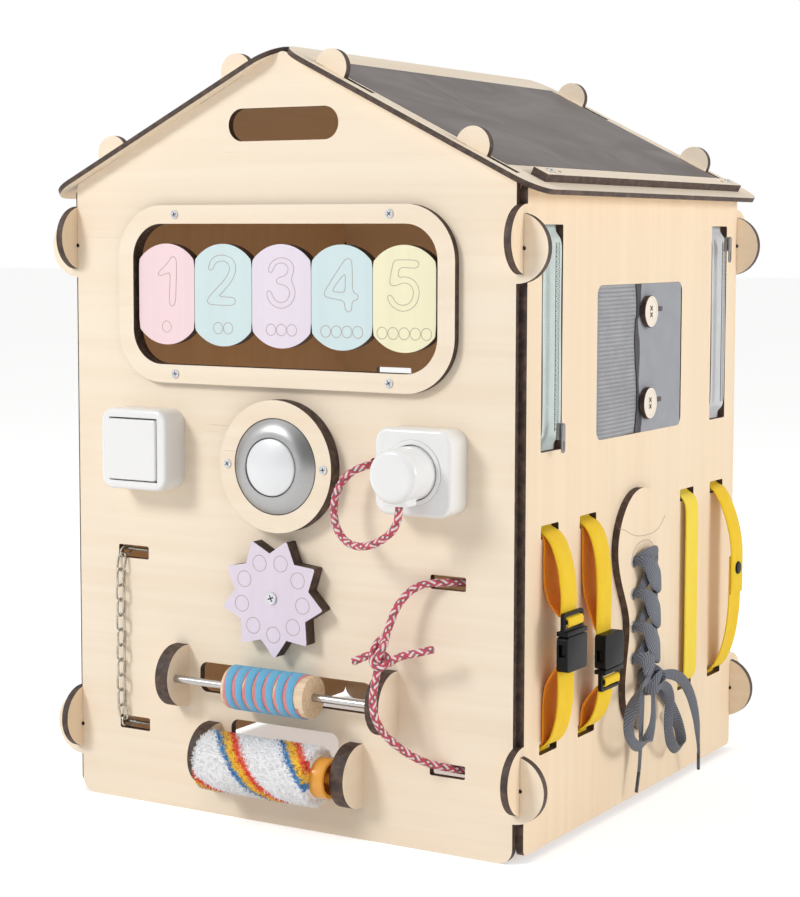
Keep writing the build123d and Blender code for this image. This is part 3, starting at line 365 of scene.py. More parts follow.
rope_knot, spaced, length = braid("tie_rope_knot_braid", [
    (80, -29.5, 143), (91, -29.5, 149), (101, -27.5, 151), (108, -27, 150), (110, -31, 144),
    (104, -34.5, 141), (98, -33, 146), (96, -27, 153), (97, -22.5, 159), (103, -23, 162), (107, -29, 158),
    (104, -34, 152), (103, -31, 146), (108, -27, 143.5), (114, -27, 148), (122, -29.5, 152),
    (134, -29.5, 155), (147, -27.5, 159)], 0.003, "house", ["tie_rope_knot"])


# ---------------------------------------------------------------- plywood walls, roof and frames
# Laser-cut birch plywood with rounded corners. The faces are sanded and left bare, pale with a
# faint grain; every cut edge is browned by the laser, darker between the layers.
birch_pale, birch_warm = (0.93, 0.80, 0.635), (0.88, 0.715, 0.53)
birch_light = (0.95, 0.83, 0.67)
burnt_edge, burnt_light = (0.040, 0.023, 0.017), (0.115, 0.066, 0.045)
GRAIN, ACROSS_GRAIN = 2.2, 85.0


def facing(tree, normal):
    """1 where the piece's own surface faces along a direction or against it."""
    where = put(tree, "ShaderNodeTexCoord")
    along = put(tree, "ShaderNodeVectorMath", {0: where.outputs["Normal"], 1: normal},
                operation="DOT_PRODUCT")
    return ramp(tree, reckoned(tree, "ABSOLUTE", along.outputs["Value"]), 0.80, 0.90)


def cut_edge(tree):
    """Browned edge: soft bands of darker and lighter char."""
    return blended(tree, ramp(tree, noise(tree, 160, (1, 1, 1), 4), 0.35, 0.75), burnt_edge, burnt_light)


def birch(name, normal, grain, paint=None, tint=(1, 1, 1)):
    """Plywood with its grain along one axis; normal is the way its sheet faces; paint covers the faces."""
    pale, warm, light = ([a * b for a, b in zip(tone, tint)]
                         for tone in (birch_pale, birch_warm, birch_light))
    material, tree, shader = finish(name, birch_pale, 0.62)
    stretch = tuple(GRAIN if axis else ACROSS_GRAIN for axis in grain)
    fine = noise(tree, 1.0, stretch, 5, 0.6)
    broad = noise(tree, 1.0, tuple(value / 7 for value in stretch), 3, 1.2)
    if paint:
        face = blended(tree, ramp(tree, fine, 0.35, 0.75), paint, tuple(tone * 0.965 for tone in paint))
    else:
        bands = blended(tree, ramp(tree, broad, 0.40, 0.80, 0.6), pale, warm)
        streaks = blended(tree, 0.35, bands, blended(tree, ramp(tree, fine, 0.35, 0.7), light, warm))
        pores = noise(tree, 1.0, tuple(value * 6 for value in stretch), 2)
        face = blended(tree, ramp(tree, pores, 0.73, 0.84, 0.7), streaks, (0.62, 0.43, 0.27))
    colour = blended(tree, facing(tree, normal), cut_edge(tree), face)
    tree.links.new(colour, shader.inputs["Base Color"])
    bump(tree, shader, fine, 0.00012)
    return material


def dressed(data, material):
    """Gives a shape one material and no other."""
    data.materials.clear()
    data.materials.append(material)


def clad(material, *names):
    """Gives CAD nodes a material."""
    for name in names:
        dressed(nodes[name].data, material)


SLOPE = radians(26.4)
birch_front = birch("birch_front", (0, 1, 0), (1, 0, 0))
birch_side = birch("birch_side", (1, 0, 0), (0, 0, 1), tint=(0.98, 0.915, 0.83))
birch_right_roof = birch("birch_right_roof", (sin(SLOPE), 0, cos(SLOPE)), (0, 1, 0))
birch_left_roof = birch("birch_left_roof", (-sin(SLOPE), 0, cos(SLOPE)), (0, 1, 0))
birch_block = birch("birch_block", (1, 0, 0), (0, 1, 0))
clad(birch_front, "front_wall", "back_wall", "window_frame", "lamp_ring")
clad(birch_side, "left_wall", "right_wall", "shoe_plate")
clad(birch_right_roof, "roof_right", "chalk_ledge")
clad(birch_left_roof, "roof_left")
clad(birch_block, "spool_brackets", "roller_brackets")


# ---------------------------------------------------------------- chalkboard
# A thin sheet of matt chalkboard film on the right roof, warm grey with the haze of wiped chalk.
chalk_film, tree, shader = finish("chalk_film", (0.13, 0.115, 0.11), 0.62)
haze = noise(tree, 1.0, (14, 6, 14), 6, 1.5)
streaks = noise(tree, 1.0, (9, 160, 9), 3)
film = blended(tree, ramp(tree, haze, 0.25, 0.85), (0.125, 0.105, 0.098), (0.215, 0.19, 0.18))
film = blended(tree, ramp(tree, streaks, 0.55, 0.95), film, (0.29, 0.265, 0.255))
tree.links.new(film, shader.inputs["Base Color"])
bump(tree, shader, haze, 0.00005)
clad(chalk_film, "chalkboard")


# ---------------------------------------------------------------- screws
# Zinc-plated wood screws with low domed heads and a cross recess whose faces are painted dark as
# shade, through the frame, ring and ledge; one larger pan-head screw carries the star wheel.
zinc, tree, shader = finish("zinc_plate", (0.60, 0.61, 0.62), 0.34, 1.0)
coloured(tree, shader, ramp(tree, noise(tree, 420, detail=4), 0.3, 0.8), (0.66, 0.67, 0.68),
         (0.45, 0.46, 0.48))
# Near black for the faces inside the cross recess: painted shade, where the real recess is bare zinc.
painted_recess_shade, _, _ = finish("painted_recess_shade", (0.035, 0.035, 0.04), 0.6)


def only(made):
    """Selects one object and nothing else."""
    bpy.ops.object.select_all(action="DESELECT")
    made.select_set(True)
    bpy.context.view_layer.objects.active = made


def apply_all(made):
    """Applies a piece's modifiers."""
    only(made)
    for modifier in list(made.modifiers):
        bpy.ops.object.modifier_apply(modifier=modifier.name)


MERGE = 0.000005


def faced_out(made, merge=0.0, smooth=None):
    """Turns a new shape's faces outwards, its doubles merged first, and smooths it below an angle."""
    only(made)
    bpy.ops.object.mode_set(mode="EDIT")
    bpy.ops.mesh.select_all(action="SELECT")
    if merge:
        bpy.ops.mesh.remove_doubles(threshold=merge)
    bpy.ops.mesh.normals_make_consistent(inside=False)
    bpy.ops.object.mode_set(mode="OBJECT")
    if smooth:
        bpy.ops.object.shade_smooth_by_angle(angle=radians(smooth))


def joined(name, parts):
    """Several objects made one."""
    only(parts[0])
    for part in parts:
        part.select_set(True)
    if len(parts) > 1:
        bpy.ops.object.join()
    bpy.context.object.name = name
    return bpy.context.object


def screw_head(radius, rise):
    """Domed head with a cross recess painted dark as shade, its rim in the plane z = 0 and its crown up."""
    bpy.ops.mesh.primitive_cylinder_add(vertices=40, radius=radius, depth=rise, location=(0, 0, rise / 2))
    head = bpy.context.object
    bpy.ops.object.mode_set(mode="EDIT")
    bpy.ops.mesh.select_all(action="DESELECT")
    shape = bmesh.from_edit_mesh(head.data)
    for face in shape.faces:
        face.select = face.calc_center_median().z > rise * 0.9 and face.normal.z > 0.9
    bmesh.update_edit_mesh(head.data)
    bpy.ops.mesh.bevel(offset=rise * 0.8, segments=4, affect="EDGES")
    bpy.ops.object.mode_set(mode="OBJECT")
    head.data.materials.append(zinc)
    head.data.materials.append(painted_recess_shade)
    for turn in (0, 90):
        bpy.ops.mesh.primitive_cube_add(size=1, location=(0, 0, rise))
        blade = bpy.context.object
        blade.scale = (radius * 1.15, radius * 0.22, rise * 0.9)
        blade.rotation_euler.z = radians(turn)
        bpy.ops.object.transform_apply(location=True, rotation=True, scale=True)
        blade.data.materials.append(painted_recess_shade)
        cut = head.modifiers.new("recess", "BOOLEAN")
        cut.operation = "DIFFERENCE"
        cut.object = blade
        apply_all(head)
        bpy.data.objects.remove(blade)
    only(head)
    bpy.ops.object.shade_smooth_by_angle(angle=radians(35))
    return head


def screwed(name, head, places, body, replaced):
    """Copies of a screw head at (place, outward direction, turn), as one piece."""
    copies = []
    for place, outward, turn in places:
        copy = linked(name, head.data.copy())
        stand = Vector(outward).to_track_quat("Z", "Y").to_matrix().to_4x4()
        copy.data.transform(Matrix.Translation(Vector(place) * MM) @ stand @ Matrix.Rotation(turn, 4, "Z"))
        copies.append(copy)
    bpy.data.objects.remove(head)
    return belonging(joined(name, copies), body, [replaced])


up_slope = Vector((sin(SLOPE), 0, cos(SLOPE)))
RIDGE_Z, ROOF_FACE, LEDGE_DOWN, LEDGE_HIGH = 598, 4.3, 228.5, 6
FRAME_FRONT, RING_FRONT, LAMP_Z = -9, -15, 282.6


def on_roof(down, along, lift):
    """Point on the right roof: down the slope from the ridge, into the house, above its top face."""
    down_slope = Vector((cos(SLOPE), 0, -sin(SLOPE)))
    return Vector((0, along, RIDGE_Z)) + down_slope * down + up_slope * (ROOF_FACE + lift)


OUT_FRONT = (0, -1, 0)
panel_places = [((x, FRAME_FRONT, z), OUT_FRONT, turn) for x, z, turn in (
    (-98, 474.6, 0.3), (98, 474.6, 0.8), (-98, 349.8, 0.1), (98, 349.8, 0.5))]
panel_places += [((x, RING_FRONT, LAMP_Z), OUT_FRONT, turn) for x, turn in ((-44, 0.6), (44, 0.2))]
panel_places += [(on_roof(LEDGE_DOWN, y, LEDGE_HIGH), tuple(up_slope), turn)
                 for y, turn in ((33, 0.4), (373, 0.9))]
screwed("panel_screw_heads", screw_head(0.0034, 0.0016), panel_places, "house", "panel_screws")


# ---------------------------------------------------------------- number window
# Five arched wooden tiles, painted on both faces and browned on their edges, that turn on one
# polished rod. Each bears an engraved outline numeral over a row of rings.
polished, tree, shader = finish("polished_rod", (0.45, 0.44, 0.43), 0.26, 1.0)
coloured(tree, shader, ramp(tree, noise(tree, 1.0, (20, 900, 900)), 0.3, 0.8), (0.52, 0.51, 0.50),
         (0.34, 0.33, 0.32))
clad(polished, "number_axle", "spool_rod", "roller_rod")
tile_paints = ((0.93, 0.71, 0.735), (0.66, 0.80, 0.81), (0.83, 0.75, 0.85), (0.66, 0.80, 0.82),
               (0.93, 0.88, 0.61))
engraved, tree, shader = finish("engraved_line", (0.42, 0.31, 0.26), 0.7)
coloured(tree, shader, noise(tree, 900), (0.32, 0.23, 0.19), (0.55, 0.42, 0.36))
LINE = 0.00022
TILE_PITCH, TILE_FACE, TILE_MIDDLE = 54.4, -5.5, 412.2
TILE_SHOULDER = (26.9, 26.4)
RING_DROP, RING_PITCH, RING_RADIUS = 25.6, 9.5, 4.4
numeral_outlines = (
    [[(7.2, 29.8), (10.3, 26.9), (9.4, 8), (8.8, -7.2), (5.5, -10.1), (2.4, -7.2), (3.4, 8), (3.8, 17.2),
      (-1, 16), (-6.7, 13.8), (-8.8, 16.6), (0, 23), (5.2, 29.2)]],
    [[(-14.1, 21.3), (-9.9, 29.4), (-0.5, 31.7), (10.1, 28.5), (13.1, 20.2), (8.9, 11.2), (0.5, 3),
      (-4.5, -1), (4, -1.4), (11, -1.6), (12, -4.6), (10.1, -7.7), (0, -7.8), (-13.4, -7.5), (-15.3, -4.6),
      (-12.5, -0.5), (-5, 6), (3.1, 13.1), (7, 20.2), (4.9, 25.2), (-0.5, 26.9), (-6.8, 25.2), (-9.2, 20.2),
      (-12.2, 18.8)]],
    [[(-12.1, 19.8), (-9.5, 26.4), (-0.2, 30.2), (9, 27.4), (12.5, 20.8), (8.4, 12.8), (13.9, 3.8), (9.7, -6),
      (-0.2, -10), (-10.2, -6), (-13.9, 1.9), (-11.6, 4.7), (-8.8, 2.8), (-6.5, -2.8), (-0.2, -5.3),
      (6.3, -2.5), (8.4, 3.8), (4.4, 8.5), (-3.2, 9.4), (-4.9, 11.9), (-2.6, 14.2), (4.4, 16), (7, 20.8),
      (4.4, 24.5), (-0.2, 25.7), (-5.6, 24), (-7.7, 19.2), (-10.2, 17.7)]],
    [[(5.8, 29.6), (9.1, 27.8), (9.5, 16), (9.6, 4.1), (14, 2.9), (15.1, 0.7), (12.9, -1.7), (9.1, -2.4),
      (9.1, -8.9), (6.2, -11.1), (2.9, -8.9), (2.7, -2.4), (-5, -1.2), (-13.8, 0), (-16, 2.6), (-14.4, 5.4),
      (-6, 17), (2.4, 28)],
     [(3.3, 18.9), (3.2, 12), (3.1, 3.9), (-3, 4.1), (-9.3, 4.4), (-3, 12)]],
    [[(-6.8, 28.7), (2, 28.7), (10.8, 28.5), (13.1, 25.8), (10.8, 22.5), (3, 22.9), (-4.2, 23.3),
      (-5.7, 15.3), (1.7, 16.7), (10.2, 13.1), (13.6, 4.9), (10.2, -5.1), (-0.4, -10.2), (-11, -6),
      (-14.8, 0.9), (-12.5, 3.1), (-9.5, 0.9), (-6.8, -3.6), (-0.4, -5.1), (5.9, -2.4), (8.5, 4.9),
      (5.9, 10.4), (-0.4, 12.2), (-6.8, 9.5), (-11.7, 9.8), (-12.5, 12.7), (-11, 20), (-9.5, 27.3)]])


def ring_line(place, radius):
    """A ring engraved on a face that looks out of the front wall."""
    bpy.ops.curve.primitive_bezier_circle_add(radius=radius * MM, location=Vector(place) * MM)
    made = bpy.context.object
    made.rotation_euler.x = radians(90)
    made.data.bevel_depth = LINE
    made.data.bevel_resolution = 1
    return made


def engraving(name, parts, body):
    """Engraved lines as one mesh that rides on a body."""
    for part in parts:
        only(part)
        bpy.ops.object.convert(target="MESH")
        bpy.ops.object.transform_apply(location=True, rotation=True, scale=True)
        dressed(part.data, engraved)
    return belonging(joined(name, parts), body)


def closed_line(name, places):
    """A thin round line through a closed ring of places, in millimetres."""
    curve, spline = spline_through(name, places, 6)
    curve.bevel_depth = LINE
    curve.bevel_resolution = 1
    spline.use_cyclic_u = True
    made = linked(name, curve)
    return made


def node_copy(name, node, material):
    """A selected copy of a CAD node's shape in another material."""
    made = linked(name, nodes[node].data.copy())
    dressed(made.data, material)
    only(made)
    return made


def rounded_tile(number, middle, material):
    """The tile's CAD shape with its four shoulders rounded over, as on the real tiles."""
    node = f"number_tile_{number}"
    made = node_copy(f"tile_{number}_board", node, material)
    bpy.ops.mesh.customdata_custom_splitnormals_clear()
    bpy.ops.object.mode_set(mode="EDIT")
    shape = bmesh.from_edit_mesh(made.data)
    bmesh.ops.remove_doubles(shape, verts=shape.verts, dist=0.00002)
    bmesh.ops.dissolve_limit(shape, angle_limit=radians(1), verts=shape.verts, edges=shape.edges)
    for edge in shape.edges:
        a, b = (vertex.co for vertex in edge.verts)
        near = abs(abs((a.x + b.x) / 2 / MM - middle) - TILE_SHOULDER[0]) < 0.4
        level = abs(abs((a.z + b.z) / 2 / MM - TILE_MIDDLE) - TILE_SHOULDER[1]) < 0.8
        edge.select = near and level and abs(a.y - b.y) > 0.002
    bmesh.update_edit_mesh(made.data)
    bpy.ops.mesh.bevel(offset=0.0075, segments=8, affect="EDGES")
    bpy.ops.object.mode_set(mode="OBJECT")
    made.data.shade_flat()
    belonging(made, f"tile_{number}", [node])


for number, paint in enumerate(tile_paints, 1):
    middle = (number - 3) * TILE_PITCH
    rounded_tile(number, middle, birch(f"tile_paint_{number}", (0, 1, 0), (0, 0, 1), paint))
    lines = [closed_line("numeral", [(middle + x, TILE_FACE, TILE_MIDDLE + z) for x, z in outline])
             for outline in numeral_outlines[number - 1]]
    for place in range(number):
        along = middle + (place - (number - 1) / 2) * RING_PITCH
        lines.append(ring_line((along, TILE_FACE, TILE_MIDDLE - RING_DROP), RING_RADIUS))
    engraving(f"tile_{number}_engraving", lines, f"tile_{number}")


# ---------------------------------------------------------------- light switch
# A surface-mounted household switch in glossy white plastic: a deep rounded base and one square
# rocker set into it.
def glossy(name, colour, roughness=0.22, coat=0.25, specular=0.5):
    """Moulded plastic: one colour, with the slight waviness of a moulding."""
    material, tree, shader = finish(name, colour, roughness, Coat_Weight=coat, Coat_Roughness=0.12,
                                    Specular_IOR_Level=specular)
    fine = noise(tree, 60, detail=2)
    coloured(tree, shader, fine, colour, tuple(tone * 0.975 for tone in colour))
    bump(tree, shader, noise(tree, 1400, detail=1), 0.00001)
    return material


white_plastic = glossy("white_plastic", (0.875, 0.875, 0.87))


def softened(name, node, material, body, bevel, angle=32, segments=3):
    """A CAD node's shape again, with its sharp edges eased as the real moulding's are."""
    made = node_copy(name, node, material)
    bpy.ops.object.mode_set(mode="EDIT")
    bpy.ops.mesh.select_all(action="SELECT")
    bpy.ops.mesh.remove_doubles(threshold=0.00002)
    bpy.ops.mesh.dissolve_limited(angle_limit=radians(1.5))
    bpy.ops.object.mode_set(mode="OBJECT")
    if bevel:
        ease = made.modifiers.new("ease", "BEVEL")
        ease.width = bevel
        ease.segments = segments
        ease.limit_method = "ANGLE"
        ease.angle_limit = radians(angle)
        ease.use_clamp_overlap = True
        apply_all(made)
    only(made)
    bpy.ops.object.shade_smooth_by_angle(angle=radians(40))
    return belonging(made, body, [node])


softened("switch_base", "switch_box", white_plastic, "house", 0.0016, segments=5)
softened("switch_key", "switch_rocker", white_plastic, "rocker", 0.001, segments=4)


# ---------------------------------------------------------------- socket and plug
# A matching surface-mounted socket with a round well, and a side-entry plug pushed into it. The
# cord leaves the bottom of the plug's chin.
softened("socket_cover", "socket_box", white_plastic, "house", 0.0016, segments=5)
softened("socket_well", "socket_insert", white_plastic, "house", 0.0005)
softened("plug_pin_pair", "plug_pins", zinc, "plug", 0.0003)
plug_body = softened("plug_body", "plug", white_plastic, "plug", 0)
merge = plug_body.modifiers.new("merge", "REMESH")
merge.mode = "VOXEL"
merge.voxel_size = 0.0007
round_off = plug_body.modifiers.new("round_off", "SMOOTH")
round_off.factor = 0.5
round_off.iterations = 12
apply_all(plug_body)
plug_body.data.shade_smooth()


# ---------------------------------------------------------------- push lamp
# A battery push light: a silver-lacquered dome held in a plywood ring, with a frosted lens that
# is pressed down to switch it. A dark ring of painted shade runs round the lens, in its gap, and
# round the dome's foot, where it leaves the plywood ring.
silver, tree, shader = finish("silver_lacquer", (0.42, 0.42, 0.42), 0.36, 0.8)
coloured(tree, shader, noise(tree, 700, detail=2), (0.44, 0.44, 0.44), (0.38, 0.38, 0.38))
lens, tree, shader = finish("frosted_lens", (0.80, 0.81, 0.82), 0.30, 0.15, Coat_Weight=0.4,
                            Coat_Roughness=0.15)
glow = noise(tree, 45, detail=2)
coloured(tree, shader, glow, (0.82, 0.83, 0.84), (0.75, 0.765, 0.78))
# Near-black rings in the gap round the lens and at the dome's foot: painted shade.
painted_rim_shade, tree, shader = finish("painted_rim_shade", (0.05, 0.05, 0.055), 0.5)
coloured(tree, shader, noise(tree, 500), (0.045, 0.045, 0.05), (0.07, 0.07, 0.075))


def lattice(rows, size, closed=False, start=0):
    """Faces between rows of points; closed joins the last row to the first."""
    return [(start + row * size + place, start + row * size + place + 1,
             start + (row + 1) % rows * size + place + 1, start + (row + 1) % rows * size + place)
            for row in range(rows if closed else rows - 1) for place in range(size - 1)]


def turned_shape(name, profile, material, body, node_names=(), slot=None, centre=(0, -3, LAMP_Z), steps=96):
    """A profile of (radius, height off the front wall) turned about an axis square to that wall."""
    points = []
    for a, b in spokes(steps):
        for radius, height in profile:
            points.append(Vector((centre[0] + radius * a, centre[1] - height, centre[2] + radius * b)) * MM)
    made = piece_of(name, points, lattice(steps, len(profile), True), material, body, node_names, slot)
    faced_out(made, merge=MERGE, smooth=35)
    return made


def arc(start, end, bulge, count=10):
    """Points from one to another along a shallow arc that rises by bulge in the middle."""
    listed = []
    for number in range(count + 1):
        share = number / count
        listed.append((start[0] + (end[0] - start[0]) * share,
                       start[1] + (end[1] - start[1]) * share + bulge * 4 * share * (1 - share)))
    return listed


dome = [(36.9, 0.3), (36.9, 11.6), (36.6, 12.1)] + arc((36.3, 12.3), (24.2, 18.2), 1.5) + [
    (23.4, 18.3), (22.9, 17.9), (22.8, 17.2), (22.8, 5.2), (0, 5.2)]
turned_shape("lamp_dome", dome + [(0, 0.3), (36.9, 0.3)], silver, "house", ["lamp_bowl"], "silver_lamp")
cap = [(radius, 21.45 - 3.3 * (radius / 22.4) ** 2.2) for radius in (0, 3, 6, 9, 12, 15, 17, 19, 20.4, 21.3)]
turned_shape("lamp_lens", cap + [(21.9, 17.9), (22.1, 17.0), (22.1, 9.0), (0, 9.0)], lens, "lamp_button",
             ["lamp_button"], "frosted")
# Dark rings of painted shade round the lens and round the dome's foot.
turned_shape("lamp_lens_shade_ring", [(22.15, 17.2), (22.3, 17.5), (22.7, 17.4), (22.75, 17.0), (22.3, 16.8),
                                (22.15, 17.2)],
             painted_rim_shade, "house", slot="silver_lamp")
turned_shape("lamp_foot_shade_ring", [(36.75, 12.05), (37.0, 12.35), (37.25, 12.05), (37.0, 11.9), (36.75, 12.05)],
             painted_rim_shade, "house", slot="silver_lamp")


# ---------------------------------------------------------------- star wheel
# A nine-pointed wheel of two plywood layers, painted lilac on its face, that spins on one screw.
# A ring is engraved near each point.
GEAR_X, GEAR_Z, GEAR_FACE, GEAR_TURN, GEAR_POINTS, RINGS_AT = -3, 181, -15.3, -7, 9, 28.5
clad(birch("gear_paint", (0, 1, 0), (0, 0, 1), (0.79, 0.70, 0.81)), "star_gear")
rings = []
for number in range(GEAR_POINTS):
    turn = radians(GEAR_TURN + 360 / GEAR_POINTS * number)
    rings.append(ring_line((GEAR_X + RINGS_AT * cos(turn), GEAR_FACE, GEAR_Z + RINGS_AT * sin(turn)), 6.2))
engraving("gear_engraving", rings, "star_gear")
gear_screw = ((GEAR_X, GEAR_FACE - 0.3, GEAR_Z), OUT_FRONT, 0.35)
screwed("gear_screw_head", screw_head(0.0046, 0.0024), [gear_screw], "house", "gear_screw")


# ---------------------------------------------------------------- chain
# Welded steel chain of long links, bright zinc-plated, let into two slots of the front wall. Each
# end link holds a cross pin behind the wall.
WIRE, LINK_WIDTH, LINK_STEPS, PIN_RADIUS, PIN_LEAST = 0.0009, 0.0094, 28, 0.0015, 0.03


def loose_parts(node):
    """The separate solids of a CAD node, each as a list of its corners."""
    shape = bmesh.new()
    shape.from_mesh(nodes[node].data)
    bmesh.ops.remove_doubles(shape, verts=shape.verts, dist=0.00001)
    parts, met = [], set()
    for first in shape.verts:
        if first in met:
            continue
        met.add(first)
        queue, part = [first], []
        while queue:
            here = queue.pop()
            part.append(here.co.copy())
            for edge in here.link_edges:
                other = edge.other_vert(here)
                if other not in met:
                    met.add(other)
                    queue.append(other)
        parts.append(part)
    shape.free()
    return parts


def link_ring(centre, along, across, length, width):
    """Centre line of one welded link."""
    half, bend = length / 2 - width / 2, width / 2 - WIRE
    line = []
    for a, b in spokes(LINK_STEPS):
        shift = half if a > 1e-6 else (-half if a < -1e-6 else 0)
        line.append(centre + along * (bend * a + shift) + across * (bend * b))
    return line


def round_section(radius, sides):
    """The same circle all along a tube."""
    ring = [(radius * a, radius * b) for a, b in spokes(sides)]
    return lambda number, share: ring


def closed_tube(line, radius, sides=8):
    """Round wire bent into a closed ring."""
    points, faces, count = [], [], len(line)
    middle = sum(line, Vector()) / count
    flat = (line[0] - middle).cross(line[count // 4] - middle).normalized()
    ring = round_section(radius, sides)(0, 0)
    for number, here in enumerate(line):
        ahead = (line[(number + 1) % count] - line[number - 1]).normalized()
        side = ahead.cross(flat)
        points += [here + side * a + flat * b for a, b in ring]
        low, high = number * sides, (number + 1) % count * sides
        for step in range(sides):
            after = (step + 1) % sides
            faces.append((low + step, high + step, high + after, low + after))
    return points, faces


def gathered(shapes):
    """Several (points, faces) as one."""
    points, faces = [], []
    for some_points, some_faces in shapes:
        start = len(points)
        points += some_points
        faces += [tuple(start + corner for corner in face) for face in some_faces]
    return points, faces


def bar_between(first, last, radius, sides=12):
    """Straight round bar."""
    return tube([first, last], run_along([first, last]), round_section(radius, sides))


chain_steel, tree, shader = finish("chain_steel", (0.50, 0.47, 0.42), 0.32, 0.95)
coloured(tree, shader, ramp(tree, noise(tree, 500, detail=3), 0.3, 0.8), (0.58, 0.55, 0.48),
         (0.34, 0.32, 0.28))
wires = []
for part in loose_parts("chain"):
    low = Vector(min(point[axis] for point in part) for axis in range(3))
    high = Vector(max(point[axis] for point in part) for axis in range(3))
    centre = (low + high) / 2
    if high.x - low.x > PIN_LEAST:
        wires.append(bar_between(Vector((low.x, centre.y, centre.z)), Vector((high.x, centre.y, centre.z)),
                                 PIN_RADIUS))
        continue
    far = max(part, key=lambda point: (point - centre).length)
    reach = [point for point in part if (point - centre).length > (far - centre).length * 0.93
             and (point - centre).dot(far - centre) > 0]
    along = (sum(reach, Vector()) / len(reach) - centre)
    along.x = 0
    along.normalize()
    level = Vector((1, 0, 0)) if high.x - low.x > 0.005 else Vector((1, 0, 0)).cross(along)
    length = 2 * max(abs((point - centre).dot(along)) for point in part)
    wires.append(closed_tube(link_ring(centre, along, level, length, LINK_WIDTH), WIRE))
piece_of("chain_links", *gathered(wires), chain_steel, "house", ["chain"], "zinc")


# ---------------------------------------------------------------- spool
# A turned wooden spool on a polished rod between two half-round brackets, wound with a flat
# sky-blue ribbon over a coral one, whose turns cross under the gaps.
turned_wood, tree, shader = finish("turned_wood", (0.80, 0.62, 0.42), 0.55)
coloured(tree, shader, ramp(tree, noise(tree, 1.0, (14, 420, 420), 4, 0.5), 0.3, 0.8), (0.86, 0.69, 0.49),
         (0.70, 0.50, 0.31))
clad(turned_wood, "spool")


def woven(name, colour, deep, across, ribs, thread, roughness=0.8, depth=0.00012, sheen=0.2, through=0.0,
          wander=0.6):
    """Woven cloth on object coordinates: fine ribs crossed by finer threads, painted darker in their valleys
    as shade; through lets light pass.
    """
    material, tree, shader = finish(name, colour, roughness, Sheen_Weight=sheen, Subsurface_Weight=through,
                                    Subsurface_Radius=(1.0, 0.42, 0.05), Subsurface_Scale=0.0035,
                                    Specular_IOR_Level=0.3)
    where = put(tree, "ShaderNodeTexCoord").outputs["Object"]
    height = reckoned(tree, "MULTIPLY", waves(tree, where, ribs, across, wander, 1.0),
                      waves(tree, where, thread, "Y" if across == "Z" else "Z", 0.4))
    # Low places of the weave take the deep colour: painted shade between the threads, mixed with random
    # blotches of tone.
    shade = reckoned(tree, "ADD", height, noise(tree, 60, detail=4))
    coloured(tree, shader, ramp(tree, shade, 0.2, 1.2), deep, colour)
    bump(tree, shader, height, depth)
    return material


blue_ribbon = woven("blue_ribbon", (0.17, 0.50, 0.74), (0.12, 0.40, 0.64), "X", 120, 260)
coral_ribbon = woven("coral_ribbon", (0.80, 0.33, 0.33), (0.62, 0.20, 0.21), "X", 140, 260)
SPOOL_AXIS, SPOOL_Z = -21, 109.5


def wound(radius, width, thickness, hand, phase, twist=0.0, pitch=9.4, turns=3.5, steps=48):
    """Flat ribbon wound on the spool; it is drawn in where it faces the front, so lens-shaped gaps open."""
    points, faces = [], []
    count = int(2 * steps * turns)
    for number in range(count + 1):
        turn = number / steps - turns
        angle = 2 * pi * turn * hand + phase
        middle = pitch * turn + twist * sin(2 * pi * turn * 1.37)
        drawn = width * (1.12 - 0.48 * max(0, -cos(angle)))
        for x, lift in ((-0.5, 0), (-0.42, 1), (0.42, 1), (0.5, 0)):
            reach = radius + lift * thickness
            points.append(Vector((middle + x * drawn, SPOOL_AXIS + reach * cos(angle),
                                  SPOOL_Z + reach * sin(angle))) * MM)
    for number in range(count):
        for place in range(3):
            corner = number * 4 + place
            faces.append((corner, corner + 4, corner + 5, corner + 1))
    return points, faces


made = piece_of("spool_coral_ribbon", *gathered([wound(16.40, 7.6, 0.30, -1, 2.2, 1.0),
                                                 wound(16.25, 8.8, 0.25, -1, 0.4, 1.4)]), coral_ribbon,
                "spool", ["spool_winding"], "ribbon")
faced_out(made)
piece_of("spool_blue_ribbon", *wound(16.8, 8.9, 0.4, 1, pi), blue_ribbon, "spool", slot="ribbon")


# ---------------------------------------------------------------- paint roller
# A plush roller sleeve on an orange plastic core between two half-round brackets: white pile with
# a spiral of blue, yellow and red pile round it.
orange_core = glossy("orange_core", (0.90, 0.40, 0.05), 0.4)
ROLLER_AXIS, ROLLER_Z, SLEEVE_LEFT, SLEEVE_RIGHT = -24.5, 50, -58, 47
core_steps = 64
core_profile = ((15.4, -58), (15.4, 45), (15.4, 56.6), (14.6, 57.9), (12.2, 58), (11.6, 57), (11.6, 50),
                (4.2, 50), (3.9, 57.8), (3.1, 57.8), (3.1, -57.8), (14.6, -57.9))
points, faces = [], []
for ring, (radius, x) in enumerate(core_profile):
    points += [Vector((x, ROLLER_AXIS + radius * a, ROLLER_Z + radius * b)) * MM
               for a, b in spokes(core_steps)]
    low, high = ring * core_steps, (ring + 1) % len(core_profile) * core_steps
    for step in range(core_steps):
        after = (step + 1) % core_steps
        faces.append((low + step, high + step, high + after, low + after))
made = piece_of("roller_core_moulding", points, faces, orange_core, "roller", ["roller_core"],
                "orange_plastic")
faced_out(made, smooth=35)

